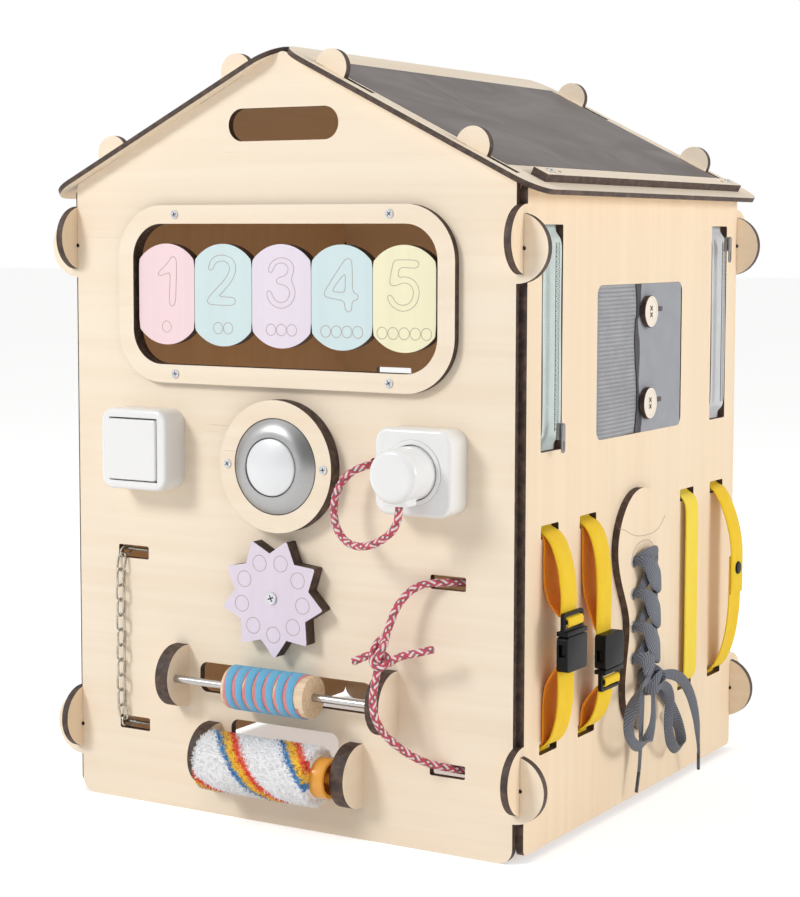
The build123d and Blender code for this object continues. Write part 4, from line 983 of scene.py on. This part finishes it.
pile, tree, shader = finish("pile", (0.93, 0.93, 0.94), 0.85, Sheen_Weight=0.3)
pile_tone_and_shade = put(tree, "ShaderNodeAttribute", attribute_name="pile")
coloured(tree, shader, ramp(tree, noise(tree, 400), 0.45, 0.9, 0.12), pile_tone_and_shade.outputs["Color"],
         (1.0, 1.0, 1.0))
PILE_SPACING, PILE_START, PILE_BASE, PILE_TIP = 60.0, -50.0, 17.5, 24.4
TUFTS = 15000
pile_white, pile_blue = (0.94, 0.94, 0.95), (0.045, 0.25, 0.55)
pile_yellow, pile_red = (0.96, 0.60, 0.035), (0.83, 0.075, 0.03)


def pile_tone(x, angle):
    """Colour of the pile; angle runs from the top forward and down."""
    place = (x - PILE_START - 2 * PILE_SPACING * angle / (2 * pi)) % PILE_SPACING
    for width, tone in ((5.5, pile_blue), (13.5, pile_yellow), (20.0, pile_red)):
        if place < width:
            return tone
    return pile_white


points, faces, tones_and_shade = [], [], []
for number in range(TUFTS):
    x = random.uniform(SLEEVE_LEFT + 0.8, SLEEVE_RIGHT - 0.8)
    angle = random.uniform(0, 2 * pi)
    base = pile_tone(x + random.gauss(0, 0.7), angle)
    lean_x, lean_turn = random.gauss(0, 1.6), random.gauss(0, 0.09)
    reach = PILE_TIP - abs(random.gauss(0, 0.9)) - random.uniform(0, 1.4)
    if x < SLEEVE_LEFT + 3:
        lean_x = max(lean_x, -0.5)
    outward = Vector((0, -sin(angle), cos(angle)))
    around = Vector((0, -cos(angle), -sin(angle)))
    centre = Vector((x, ROLLER_AXIS, ROLLER_Z))
    foot = centre + outward * PILE_BASE
    tip_angle = angle + lean_turn
    tip = Vector((min(max(x + lean_x, SLEEVE_LEFT + 0.3), SLEEVE_RIGHT + 0.4),
                  ROLLER_AXIS - sin(tip_angle) * reach, ROLLER_Z + cos(tip_angle) * reach))
    middle = foot.lerp(tip, 0.55) + outward * 0.3
    start = len(points)
    for corner in range(3):
        swing = 2 * pi * corner / 3 + number
        side = Vector((0.85, 0, 0)) * cos(swing) + around * 0.85 * sin(swing)
        points.append((foot + side) * MM)
        points.append((middle + side * 0.9) * MM)
    points.append(tip * MM)
    # Each tuft is darker towards its foot: painted shade deep in the pile.
    tones_and_shade += [[tone * 0.92 for tone in base] + [1], [tone * 0.97 for tone in base] + [1]] * 3
    tones_and_shade.append([*base, 1])
    for corner in range(3):
        after = (corner + 1) % 3
        low, next_low = start + 2 * corner, start + 2 * after
        faces += [(low, next_low, next_low + 1, low + 1), (low + 1, next_low + 1, start + 6)]
steps, spans = 72, 34
start = len(points)
for span in range(spans + 1):
    x = SLEEVE_LEFT + 0.2 + (SLEEVE_RIGHT - SLEEVE_LEFT - 0.4) * span / spans
    for step in range(steps):
        angle = 2 * pi * step / steps
        outward = Vector((0, -sin(angle), cos(angle)))
        lift = 22.0 + random.uniform(-0.4, 0.4) if 0 < span < spans else 15.5
        points.append((Vector((x, ROLLER_AXIS, ROLLER_Z)) + outward * lift) * MM)
        # The sleeve under the tufts is painted a little darker as shade.
        tones_and_shade.append([tone * 0.95 for tone in pile_tone(x, angle)] + [1])
for span in range(spans):
    for step in range(steps):
        low, high, after = start + span * steps, start + (span + 1) * steps, (step + 1) % steps
        faces.append((low + step, low + after, high + after, high + step))
made = piece_of("roller_pile", points, faces, pile, "roller", ["roller_sleeve"], "plush", smooth=False)
point_colours(made, "pile", tones_and_shade)


# ---------------------------------------------------------------- zips
# Two moulded zips let into tall slots of the right wall: a woven tape, two rows of small teeth and
# a die-cast slider with its pull. The near one is mint grey and shut down low, the far one grey.
mint_tape = woven("mint_tape", (0.70, 0.77, 0.745), (0.60, 0.68, 0.655), "Z", 190, 260, 0.85)
grey_tape = woven("grey_tape", (0.72, 0.72, 0.73), (0.61, 0.61, 0.62), "Z", 190, 260, 0.85)
WALL_MIDDLE, ZIP_OFFSET, TAPE_WIDTH = 203, 160, 30


def band(name, wall_y, route, width, thickness, material, body, replaced=(), slot=None, sway=0.0, cup=0.0,
         step=0.0016):
    """Tape or webbing of one width along (x, z) points in millimetres, with eased edges."""
    spaced, length = evenly(smooth_route([(x, wall_y, z) for x, z in route]), step)
    frames = run_along(spaced, (0, 1, 0))
    half, thick = width / 2 * MM, thickness / 2 * MM

    def section(number, share):
        drift = sway * MM * sin(share * 9.0 + wall_y)
        eased = min(1, 2.5 * sin(share * pi))
        return [(a * half + drift, b * thick + cup * MM * (1 - a * a) * eased) for a, b in (
            (-1, -0.35), (-0.97, -1), (-0.5, -1), (0, -1), (0.5, -1), (0.97, -1), (1, -0.35),
            (1, 0.35), (0.97, 1), (0.5, 1), (0, 1), (-0.5, 1), (-0.97, 1), (-1, 0.35))]

    made = piece_of(name, *tube(spaced, frames, section), material, body, replaced, slot)
    faced_out(made, smooth=50)
    return made, length


TAPE_ROUTE = [(199.5, 289), (199.5, 304), (201.5, 307.5), (205.8, 312), (205.8, 330), (205.9, 384),
              (205.8, 438), (205.8, 455), (201.5, 460.5), (199.5, 464), (199.5, 479)]
for word, side, tape_cloth in (("near", -1, mint_tape), ("far", 1, grey_tape)):
    made, length = band(f"zip_tape_{word}", WALL_MIDDLE + side * ZIP_OFFSET, TAPE_ROUTE, TAPE_WIDTH, 0.9,
                        tape_cloth, "house", ["zip_tapes"], "zip_tape", sway=0.6, cup=3.7)

TEETH, TEETH_LOW, TEETH_PITCH = 76, 317, 1.8
mint_teeth = glossy("mint_teeth", (0.50, 0.60, 0.585), 0.4)
grey_teeth = glossy("grey_teeth", (0.55, 0.56, 0.58), 0.4)
die_cast, tree, shader = finish("die_cast", (0.30, 0.30, 0.31), 0.4, 0.85)
coloured(tree, shader, noise(tree, 700), (0.36, 0.36, 0.37), (0.22, 0.22, 0.23))
# Dark teal for thin strips beside the teeth: painted shade.
painted_teeth_shade = glossy("painted_teeth_shade", (0.13, 0.15, 0.15), 0.6)


def tooth_box(x0, x1, y0, y1, z0, z1):
    """Small box whose outer face is drawn in a little."""
    points = [Vector(corner) * MM for corner in (
        (x0, y0, z0), (x0, y1, z0), (x0, y1, z1), (x0, y0, z1),
        (x1, y0 + 0.25, z0 + 0.15), (x1, y1 - 0.25, z0 + 0.15), (x1, y1 - 0.25, z1 - 0.15),
        (x1, y0 + 0.25, z1 - 0.15))]
    return points, [(0, 3, 2, 1), (4, 5, 6, 7), (0, 1, 5, 4), (1, 2, 6, 5), (2, 3, 7, 6), (3, 0, 4, 7)]


for word, side, tooth_plastic in (("near", -1, mint_teeth), ("far", 1, grey_teeth)):
    zip_y = WALL_MIDDLE + side * ZIP_OFFSET
    boxes = []
    for number in range(TEETH):
        z = TEETH_LOW + number * TEETH_PITCH
        offset = 0.9 if number % 2 else -0.9
        boxes.append(tooth_box(210.0, 211.3, zip_y + offset - 1.5, zip_y + offset + 1.5, z, z + 1.15))
    piece_of(f"zip_teeth_{word}", *gathered(boxes), tooth_plastic, "house", ["zip_teeth"], "zip_metal",
             smooth=False)
    # A thin dark strip along each side of the teeth: painted shade beside the raised teeth.
    shade_strips = [tooth_box(209.9, 210.35, zip_y + low, zip_y + high, 316, 454)
            for low, high in ((-3.1, -2.4), (2.4, 3.1))]
    piece_of(f"zip_teeth_shade_{word}", *gathered(shade_strips), painted_teeth_shade, "house", slot="zip_metal", smooth=False)
    softened(f"zip_pull_{word}", f"zip_slider_{word}", die_cast, f"zip_slider_{word}", 0.0003)


# ---------------------------------------------------------------- buttoned cloth panel
# Two flaps of grey upholstery cloth behind a rounded opening. The front flap overlaps the other,
# its free edge a little wavy over a dark strip of painted shade where the flaps part, and closes
# over two wooden buttons through stitched buttonholes whose slits are painted dark as shade.
grey_cloth = woven("grey_cloth", (0.42, 0.43, 0.46), (0.33, 0.34, 0.37), "Y", 330, 420, 0.9, 0.0002)
ribbed_cloth = woven("ribbed_cloth", (0.50, 0.50, 0.515), (0.34, 0.345, 0.37), "Z", 98, 420, 0.9, 0.0006,
                     wander=0.15)
# Near-black cloth: the thread that sews the buttons on, and painted shade in the gap between the flaps and in
# the buttonhole slits.
thread_and_lap_shade, tree, shader = finish("dark_thread_and_lap_shade", (0.055, 0.045, 0.055), 0.85, Sheen_Weight=0.2)
coloured(tree, shader, noise(tree, 800), (0.035, 0.03, 0.04), (0.09, 0.08, 0.09))
FLAP_LOW, FLAP_HIGH, FLAP_CORNER, LAP_EDGE = 302.2, 420.8, 8.0, 197.5
OPENING_LEFT, OPENING_RIGHT, WALL_BACK = 120.0, 283.0, 199.9
gap_near = ((302, -4.7), (314, -2.4), (322, -1), (336, -0.7), (345, -1.7), (360, -4.5), (375, -6.2),
            (391, -5.2), (397, -2.4), (406, -2.4), (421, -4.6))
gap_far = ((302, 5), (314, 7.2), (322, 7.9), (330, 5.2), (336, 2.4), (345, 1.7), (360, 1.7), (375, 1),
           (383, -1), (391, -1.7), (397, 2.8), (406, 4.1), (421, 4.1))


def edge_at(listed, z):
    """Shift along y of the lap's edge at a height, eased between the listed places."""
    for (low, first), (high, last) in zip(listed, listed[1:]):
        if z <= high:
            share = max(0, (z - low) / (high - low))
            return first + (last - first) * (0.5 - 0.5 * cos(pi * share))
    return listed[-1][1]


def cloth_flap(name, edge_points, lap, material, replaced, thickness=1.0):
    """A flap through (x, y) points, as tall as the opening and as round at its corners, with a free edge."""
    spaced, length = evenly(smooth_route([(x, y, 0) for x, y in edge_points]), 0.002)
    rows, points = 60, []
    for row in range(rows + 1):
        share = row / rows
        for place, here in enumerate(spaced):
            along, x, y = place / (len(spaced) - 1), here.x / MM, here.y / MM
            inset = FLAP_CORNER - min(FLAP_CORNER, max(0, min(y - OPENING_LEFT, OPENING_RIGHT - y)))
            trim = FLAP_CORNER - (FLAP_CORNER ** 2 - inset ** 2) ** 0.5 if x > WALL_BACK else 0
            z = FLAP_LOW + trim + (FLAP_HIGH - FLAP_LOW - 2 * trim) * share
            free = max(0, (along - 0.5) / 0.5)
            if lap:
                y += edge_at(gap_far, z) * free
                x += 0.5 * sin(share * 11.5 + 1.2) * free ** 3
            points.append(Vector((x, y, z)) * MM)
    made = piece_of(name, points, lattice(rows + 1, len(spaced)), material, "house", replaced, "grey_fabric")
    thick = made.modifiers.new("thickness", "SOLIDIFY")
    thick.thickness = thickness * MM
    thick.offset = 0
    apply_all(made)
    faced_out(made, smooth=50)
    return made


cloth_flap("flap_under_cloth", [(199.4, 110), (199.4, 119.4), (202.6, 120.6), (205.3, 121.4), (205.9, 124.5),
                                (205.7, 150), (204.8, 178), (203.6, 192), (203.2, 221)], False, ribbed_cloth,
           ["fabric_flap_under"])
cloth_flap("flap_over_cloth", [(199.4, 293), (199.4, 284), (202.5, 282.4), (205.6, 281.6), (206.0, 278),
                               (205.8, 250), (205.6, 220), (205.3, LAP_EDGE)], True, grey_cloth,
           ["fabric_flap_over"])
# A dark wavy strip between the flaps' edges: painted shade where the over flap stands off the under flap.
LAP_SHADE_FACE, lap_shade_rows = 205.3, 60
points = []
for row in range(lap_shade_rows + 1):
    z = FLAP_LOW + (FLAP_HIGH - FLAP_LOW) * row / lap_shade_rows
    for shift, x in ((edge_at(gap_near, z), LAP_SHADE_FACE), (edge_at(gap_far, z) + 0.6, LAP_SHADE_FACE),
                     (edge_at(gap_far, z) + 0.6, LAP_SHADE_FACE - 0.8),
                     (edge_at(gap_near, z), LAP_SHADE_FACE - 0.8)):
        points.append(Vector((x, LAP_EDGE + shift, z)) * MM)
faces = [(4 * row + side, 4 * row + (side + 1) % 4, 4 * row + 4 + (side + 1) % 4, 4 * row + 4 + side)
         for row in range(lap_shade_rows) for side in range(4)]
faces += [(3, 2, 1, 0), tuple(4 * lap_shade_rows + side for side in range(4))]
piece_of("flap_lap_shade", points, faces, thread_and_lap_shade, "house", slot="grey_fabric", smooth=False)
BUTTON_Y, BUTTON_HEIGHTS, BUTTON_BACK, BUTTON_STEPS = 211.5, (398.5, 325.0), 206.2, 64
THREAD, HOLE_FACE = 0.0003, BUTTON_BACK + 3.95
button_face = birch("button_face", (1, 0, 0), (0, 1, 0), (0.90, 0.80, 0.68))
threads_and_slit_shade = []
points, faces = [], []
for height in BUTTON_HEIGHTS:
    profile = [(0, 0), (12.2, 0), (12.7, 0.4), (12.8, 3.9), (12.4, 4.35), (11.7, 4.5), (10.7, 4.25),
               (10.2, 3.95), (0, 3.9)]
    start = len(points)
    for a, b in spokes(BUTTON_STEPS):
        for radius, lift in profile:
            points.append(Vector((BUTTON_BACK + lift, BUTTON_Y + radius * a, height + radius * b)) * MM)
    faces += lattice(BUTTON_STEPS, len(profile), True, start)
    for shift in (-1, 1):
        for lean in (-1, 1):
            first = Vector((HOLE_FACE, BUTTON_Y - 2.2 * lean, height + shift * 2.6 - 1.9)) * MM
            last = Vector((HOLE_FACE, BUTTON_Y + 2.2 * lean, height + shift * 2.6 + 1.9)) * MM
            middle = (first + last) / 2 + Vector((0.0006, 0, 0))
            spaced, _ = evenly([first, middle, last], 0.0005)
            threads_and_slit_shade.append(tube(spaced, run_along(spaced), round_section(THREAD, 6)))
    # Three dark bars beside each button fill its buttonhole slit: painted shade in the slit.
    for level in (0.3, 1.4, 2.5):
        threads_and_slit_shade.append(bar_between(Vector((206.3, BUTTON_Y + 14.5, height + level)) * MM,
                                    Vector((206.3, BUTTON_Y + 29, height + level)) * MM, 0.0009, 8))
made = piece_of("wooden_button_pair", points, faces, button_face, "house", ["wooden_buttons"], "button_wood")
faced_out(made, merge=MERGE, smooth=30)
piece_of("button_threads_and_slit_shade", *gathered(threads_and_slit_shade), thread_and_lap_shade, "house", slot="grey_fabric")


# ---------------------------------------------------------------- straps and buckles
# Yellow webbing, 25 mm wide, that comes out of one slot, passes through a black side-release
# buckle and goes in at another; a flat strap and a snap strap hang beside the shoe.
webbing = woven("yellow_webbing", (0.96, 0.66, 0.022), (0.92, 0.55, 0.014), "Z", 260, 300, 0.7, 0.0002, 0.05,
                0.15)
pale_webbing = woven("pale_webbing", (1.0, 0.78, 0.085), (0.97, 0.69, 0.05), "Z", 260, 300, 0.7, 0.0002, 0.05,
                     0.08)
# A deeper orange copy of the yellow webbing for the inner layers: painted shade, with the orange of light
# passing through the webbing.
painted_shade_webbing = woven("painted_shade_webbing", (0.93, 0.34, 0.012), (0.84, 0.26, 0.008), "Z", 260, 300, 0.7, 0.0002,
                       0.05, 0.5)
black_plastic = glossy("black_plastic", (0.005, 0.005, 0.006), 0.42, 0.0, 0.16)


def strap(name, wall_y, route, material, body, replaced, **shape):
    """Webbing 25 mm wide and 1.4 mm thick along a route."""
    made, length = band(name, wall_y, route, WEBBING, 1.4, material, body, replaced, "webbing", **shape)
    return made


def from_slot(slot_z, outward):
    """Points from a strap's tab behind the wall out through its slot; outward is 1 at the top."""
    return [(199.25, slot_z + outward * 27), (199.25, slot_z + outward * 5), (200.5, slot_z + outward * 1.5),
            (206, slot_z - outward * 0.8), (209.5, slot_z - outward * 2.8)]


first_y, second_y, flat_y, snap_y = 42, 107, 299, 364
SLOT_LOW, SLOT_HIGH, WEBBING = 81, 242, 25
# The webbing in each buckle's moving half, with a start and an end point, then its outer and inner
# layer's routes; both layers are baked in place and ride on no body.
male_straps = (
    ("first", "upper", first_y, (0.222, 0.042, 0.186), (0.209, 0.042, 0.240),
     from_slot(SLOT_HIGH, 1) + [
         (214.5, 232), (220, 215), (222.2, 198), (221.9, 184), (221.9, 180.1), (223.2, 180.1),
         (227.6, 179.9), (227.9, 178.5), (227.9, 175.2), (227.6, 173.9), (225.2, 173.9)],
     [(205.2, 240.6), (207.5, 237.5), (207.6, 228), (207.4, 212), (208.6, 198), (213.5, 187), (220.6, 181)]),
    ("second", "lower", second_y, (0.222, 0.107, 0.112), (0.209, 0.107, 0.083),
     from_slot(SLOT_LOW, -1) + [
         (215.5, 90), (220, 101), (221.9, 112), (221.9, 117.9), (223.2, 117.9), (227.6, 118.1),
         (227.9, 119.5), (227.9, 122.8), (227.6, 124.1), (225.2, 124.1)],
     [(205.2, 82.4), (207.5, 85.5), (207.6, 91), (208.0, 98), (211.0, 106), (220.6, 116.6)]))
# Inner layers take the painted-shade copy of the webbing.
for layer, suffix, cloth, cup in ((0, "", webbing, 0.5), (1, "_inner", painted_shade_webbing, 0.0)):
    for half, level, wall_y, start, end, *routes in male_straps:
        made = strap(f"strap_{half}_{level}{suffix}", wall_y, routes[layer], cloth, None,
                     [] if layer else [f"strap_male_{half}"], cup=cup)
        made.parent = None
        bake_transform(made)
strap("strap_first_lower_inner", first_y, [(205.2, 82.4), (207.5, 85.5), (207.6, 95), (207.4, 112),
                                           (208.6, 126), (212.5, 135), (219.2, 144)], painted_shade_webbing, "house",
      [])
strap("strap_second_upper_inner", second_y, [(205.2, 240.6), (207.5, 237.5), (207.6, 228), (207.4, 206),
                                             (208.6, 190), (212.5, 176), (219.2, 160)], painted_shade_webbing,
      "house", [])
strap("strap_first_lower", first_y, from_slot(SLOT_LOW, -1) + [
    (215, 91), (219.4, 108), (220.3, 126), (219.75, 140), (219.75, 161)], webbing, "house", ["straps_female"],
      cup=0.5)
strap("strap_second_upper", second_y, from_slot(SLOT_HIGH, 1) + [
    (215, 231), (219.4, 212), (220.4, 186), (219.75, 164), (219.75, 137)], webbing, "house",
      ["straps_female"], cup=0.5)
strap("strap_flat_webbing", flat_y, from_slot(SLOT_HIGH, 1)[:3] + [
    (206.5, 240.5), (210.6, 235), (211.2, 222), (211.0, 162), (211.2, 101), (210.6, 88), (206.5, 82.5)]
    + from_slot(SLOT_LOW, -1)[2::-1], pale_webbing, "house", ["strap_flat"])
strap("strap_snap_outer", snap_y, from_slot(SLOT_HIGH, 1) + [
    (216, 228), (222.5, 210), (226, 192), (226.2, 172), (226, 150)], webbing, "house", ["strap_snap"],
      cup=0.6)
strap("strap_snap_inner", snap_y, from_slot(SLOT_LOW, -1) + [
    (215, 93), (220.6, 110), (223.8, 132), (224.6, 150), (224.5, 183)], webbing, "house", ["strap_snap"],
      cup=0.6)
for node, body in (("buckle_male_first", "buckle_male_first"), ("buckle_male_second", "buckle_male_second"),
                   ("buckle_females", "house")):
    softened(f"{node}_moulding", node, black_plastic, body, 0.0009)
softened("snap_cap", "strap_snap_cap", black_plastic, "house", 0.0004)


# ---------------------------------------------------------------- lacing shoe
# A plywood shoe sole glued to the right wall, with toe-cap and tongue lines engraved in it, eight
# metal eyelets and a flat grey lace that crosses between them and is tied in a bow at the foot.
softened("eyelet_rings", "shoe_eyelets", zinc, "house", 0.00025)
lines = []
for route in (((150.5, 231), (163, 228), (180, 221), (205, 219), (221, 220), (232, 224), (240, 231)),
              ((176, 206), (180, 211.5), (190, 215.5), (204, 216), (215, 212), (222, 205))):
    spaced, length = evenly(smooth_route([(212.05, y, z) for y, z in route]), 0.0015)
    lines.append(tube(spaced, run_along(spaced), round_section(LINE, 6)))
piece_of("shoe_engraving", *gathered(lines), engraved, "house")

lace_cloth, tree, shader = finish("lace_weave", (0.19, 0.20, 0.235), 0.85, Sheen_Weight=0.25)
where = put(tree, "ShaderNodeUVMap", uv_map="route").outputs[0]
rise = reckoned(tree, "ADD", waves(tree, where, 2.4, "DIAGONAL", 1.0), waves(tree, where, 4.4, "X", 0.5))
# Raised threads of the lace are painted light and the hollows between them dark: painted highlight and
# painted shade.
coloured(tree, shader, ramp(tree, rise, 0.2, 1.8), (0.055, 0.06, 0.08), (0.30, 0.32, 0.385))
bump(tree, shader, rise, 0.0005)
aglet_black = glossy("aglet", (0.05, 0.05, 0.06), 0.4)
LACE_SIDES = 16


def turning(hints):
    """A direction that changes along a lace, from its listed values."""
    def across(share):
        place = share * (len(hints) - 1)
        index = min(int(place), len(hints) - 2)
        return Vector(hints[index]).lerp(Vector(hints[index + 1]), place - index)
    return across


def flat_lace(points, hints, widths, thickness=1.9):
    """Woven lace: a flat oval section whose width and lie change along it."""
    spaced, length = evenly(smooth_route(points), 0.0011)
    frames = run_along(spaced, turning(hints))

    def section(number, share):
        place = share * (len(widths) - 1)
        index = min(int(place), len(widths) - 2)
        width = (widths[index] + (widths[index + 1] - widths[index]) * (place - index)) / 2 * MM
        thick = thickness / 2 * MM * (1.0 if width > 0.0025 else 1.25)
        return [(width * a, thick * b * (0.75 + 0.25 * abs(b))) for a, b in spokes(LACE_SIDES)]

    return tube(spaced, frames, section), spaced, length


def lace_piece(name, shapes, replaced=()):
    """Laces as one piece with a map of (across, along) in centimetres."""
    points, faces = gathered([shape for shape, _, _ in shapes])
    made = piece_of(name, points, faces, lace_cloth, "house", replaced, "lace")
    plan = made.data.uv_layers.new(name="route")
    places = []
    for _, spaced, length in shapes:
        count = len(spaced)
        for number in range(count):
            places += [(0.4 * a, 100 * length * number / (count - 1)) for a, _ in spokes(LACE_SIDES)]
    for loop in made.data.loops:
        plan.data[loop.index].uv = places[loop.vertex_index]
    return made


lefts = ((179, 201), (179, 175), (179, 148.5), (179, 123))
rights = ((220, 203), (220, 172.5), (220, 143.5), (220, 114.5))
strands = []
for (left_y, left_z), (right_y, right_z) in zip(lefts, rights[1:] + ((204, 100),)):
    strands.append(flat_lace([
        (210, left_y, left_z), (215.5, left_y, left_z), (219.6, left_y + 2, left_z + 0.6),
        (221.6, left_y + 9, left_z - 3), (222.2, left_y * 0.5 + right_y * 0.5, (left_z + right_z) / 2),
        (219.5, right_y - 6, right_z + 3), (215.5, right_y, right_z), (211, right_y, right_z)],
        [(0, 0, 1), (0, 0.1, 1), (0.2, 0.5, 1), (0.1, 0.6, 1), (0.1, 0.5, 1), (0, 0.3, 1), (0, 0, 1)],
        [5.0, 8.0, 13.0, 18.0, 18.5, 14.0, 7.0, 4.0], 3.6))
for (left_y, left_z), (right_y, right_z) in zip(lefts[1:], rights):
    strands.append(flat_lace([
        (211, right_y, right_z), (214.5, right_y, right_z), (216.4, right_y - 6, right_z - 6),
        (217.2, (left_y + right_y) / 2 + 2, (left_z + right_z) / 2 + 2), (216.4, left_y + 9, left_z + 6),
        (214.2, left_y + 2, left_z), (210, left_y, left_z)],
        [(0, 0, 1), (0, -0.3, 1), (0, -0.6, 1), (0, -0.6, 1), (0, -0.3, 1), (0, 0, 1)],
        [4.0, 7.0, 13.0, 15.0, 12.0, 6.0, 4.0], 2.2))
strands.append(flat_lace([(211, 179.5, 201), (214.5, 180, 202.5), (217.5, 186, 205), (218.5, 198, 206.5),
                          (217.5, 212, 206), (214.5, 219.5, 204.5), (211, 220, 203)],
                         [(0, 0, 1), (0, 0, 1), (0, 0, 1)], [4, 8, 10, 10, 8, 4], 2.4))
lace_piece("lace_crossings", strands, ["shoe_lace"])
knot = [flat_lace([(214, 190, 110), (219, 186, 104), (224, 190, 96), (227, 198, 96), (226, 206, 102),
                   (221, 206, 109), (216, 200, 112), (213.5, 193, 108)],
                  [(0.3, 0.3, 1), (0.6, 0, 1), (0.3, 0.5, 1), (0, 0.2, 1)], [8, 10, 11, 10, 8], 3.0),
        flat_lace([(214, 205, 96), (220, 209, 102), (226, 204, 108), (227.5, 197, 107), (225, 190, 101),
                   (219, 189, 95), (214, 196, 94)], [(0, 1, 0.2), (0, 0.6, 1), (0, 0, 1), (0, -0.5, 1)],
                  [7, 9, 9, 9, 7], 2.6)]
lace_piece("lace_knot", knot)
LACE = 9.0
left_loop = flat_lace([(222, 191, 105), (226, 166, 106), (229, 141, 95), (229, 133, 77), (227, 150, 60),
                       (225.5, 174, 54), (224, 193, 65), (223, 197, 83), (222, 196.5, 100)],
                      [(0, 0.3, 1), (0.4, 0, 1), (0.8, 0.2, 0.4), (0.6, 0.7, 0), (0.3, 0, 1), (0.4, 0, 1),
                       (0.3, 1, 0), (0, 1, 0), (0, 1, 0)], [6, LACE, LACE, LACE, LACE, LACE, LACE, LACE, 6])
left_end = flat_lace([(217, 188, 100), (216.5, 186, 77), (217, 187, 53), (217.5, 181.5, 29)],
                     [(0.1, 1, 0.1), (0, 1, 0), (-0.2, 1, 0.1), (0.1, 1, 0.2)],
                     [7, LACE + 2, LACE + 3, LACE, 2.6])
right_end = flat_lace([(223, 203, 106), (226, 228, 105), (228, 253, 90), (228, 271, 66), (226, 283, 43),
                       (224, 290, 23)],
                      [(0, 0.2, 1), (0.2, 0.3, 1), (0.3, 0.8, 0.6), (0.2, 1, 0.3), (0.1, 1, 0.1), (0, 1, 0)],
                      [6, LACE, LACE + 1, LACE + 2, LACE, 2.6])
right_loop = flat_lace([(222.5, 204, 100), (223.5, 222, 95), (223.5, 230, 80), (223.5, 224, 62),
                        (223, 233, 43), (221, 253, 32), (218.5, 267, 38), (217.5, 259, 57), (217, 243, 76),
                        (217, 224, 90), (217, 204, 101)],
                       [(0, 0.2, 1), (0.5, 0.5, 0.6), (0.6, 0.8, 0), (0.5, 0.9, 0), (0.7, 0.5, 0.3),
                        (0.6, 0, 0.8), (0.8, 0.3, 0), (0.6, 0.6, 0.5), (0.5, 0.5, 0.6), (0.3, 0.5, 0.8),
                        (0, 0.3, 1)],
                       [6, LACE, LACE, LACE, LACE, LACE, LACE, LACE, LACE, LACE, 6])
aglets = [piece_of(name, *bar_between(Vector(start) * MM, Vector(last) * MM, 0.0014), aglet_black, "house",
                   slot="lace")
          for name, start, last in (("aglet_left", (217.5, 181.8, 31), (217.3, 177.6, 15)),
                                    ("aglet_right", (224, 289.6, 25), (222.6, 293.2, 9)))]
for name, shape, far_end, fittings in (("lace_loop_left", left_loop, "object", []),
                                       ("lace_end_left", left_end, "fitting", aglets[:1]),
                                       ("lace_end_right", right_end, "fitting", aglets[1:]),
                                       ("lace_loop_right", right_loop, "object", [])):
    lace_piece(name, [shape], ["lace_bow"])
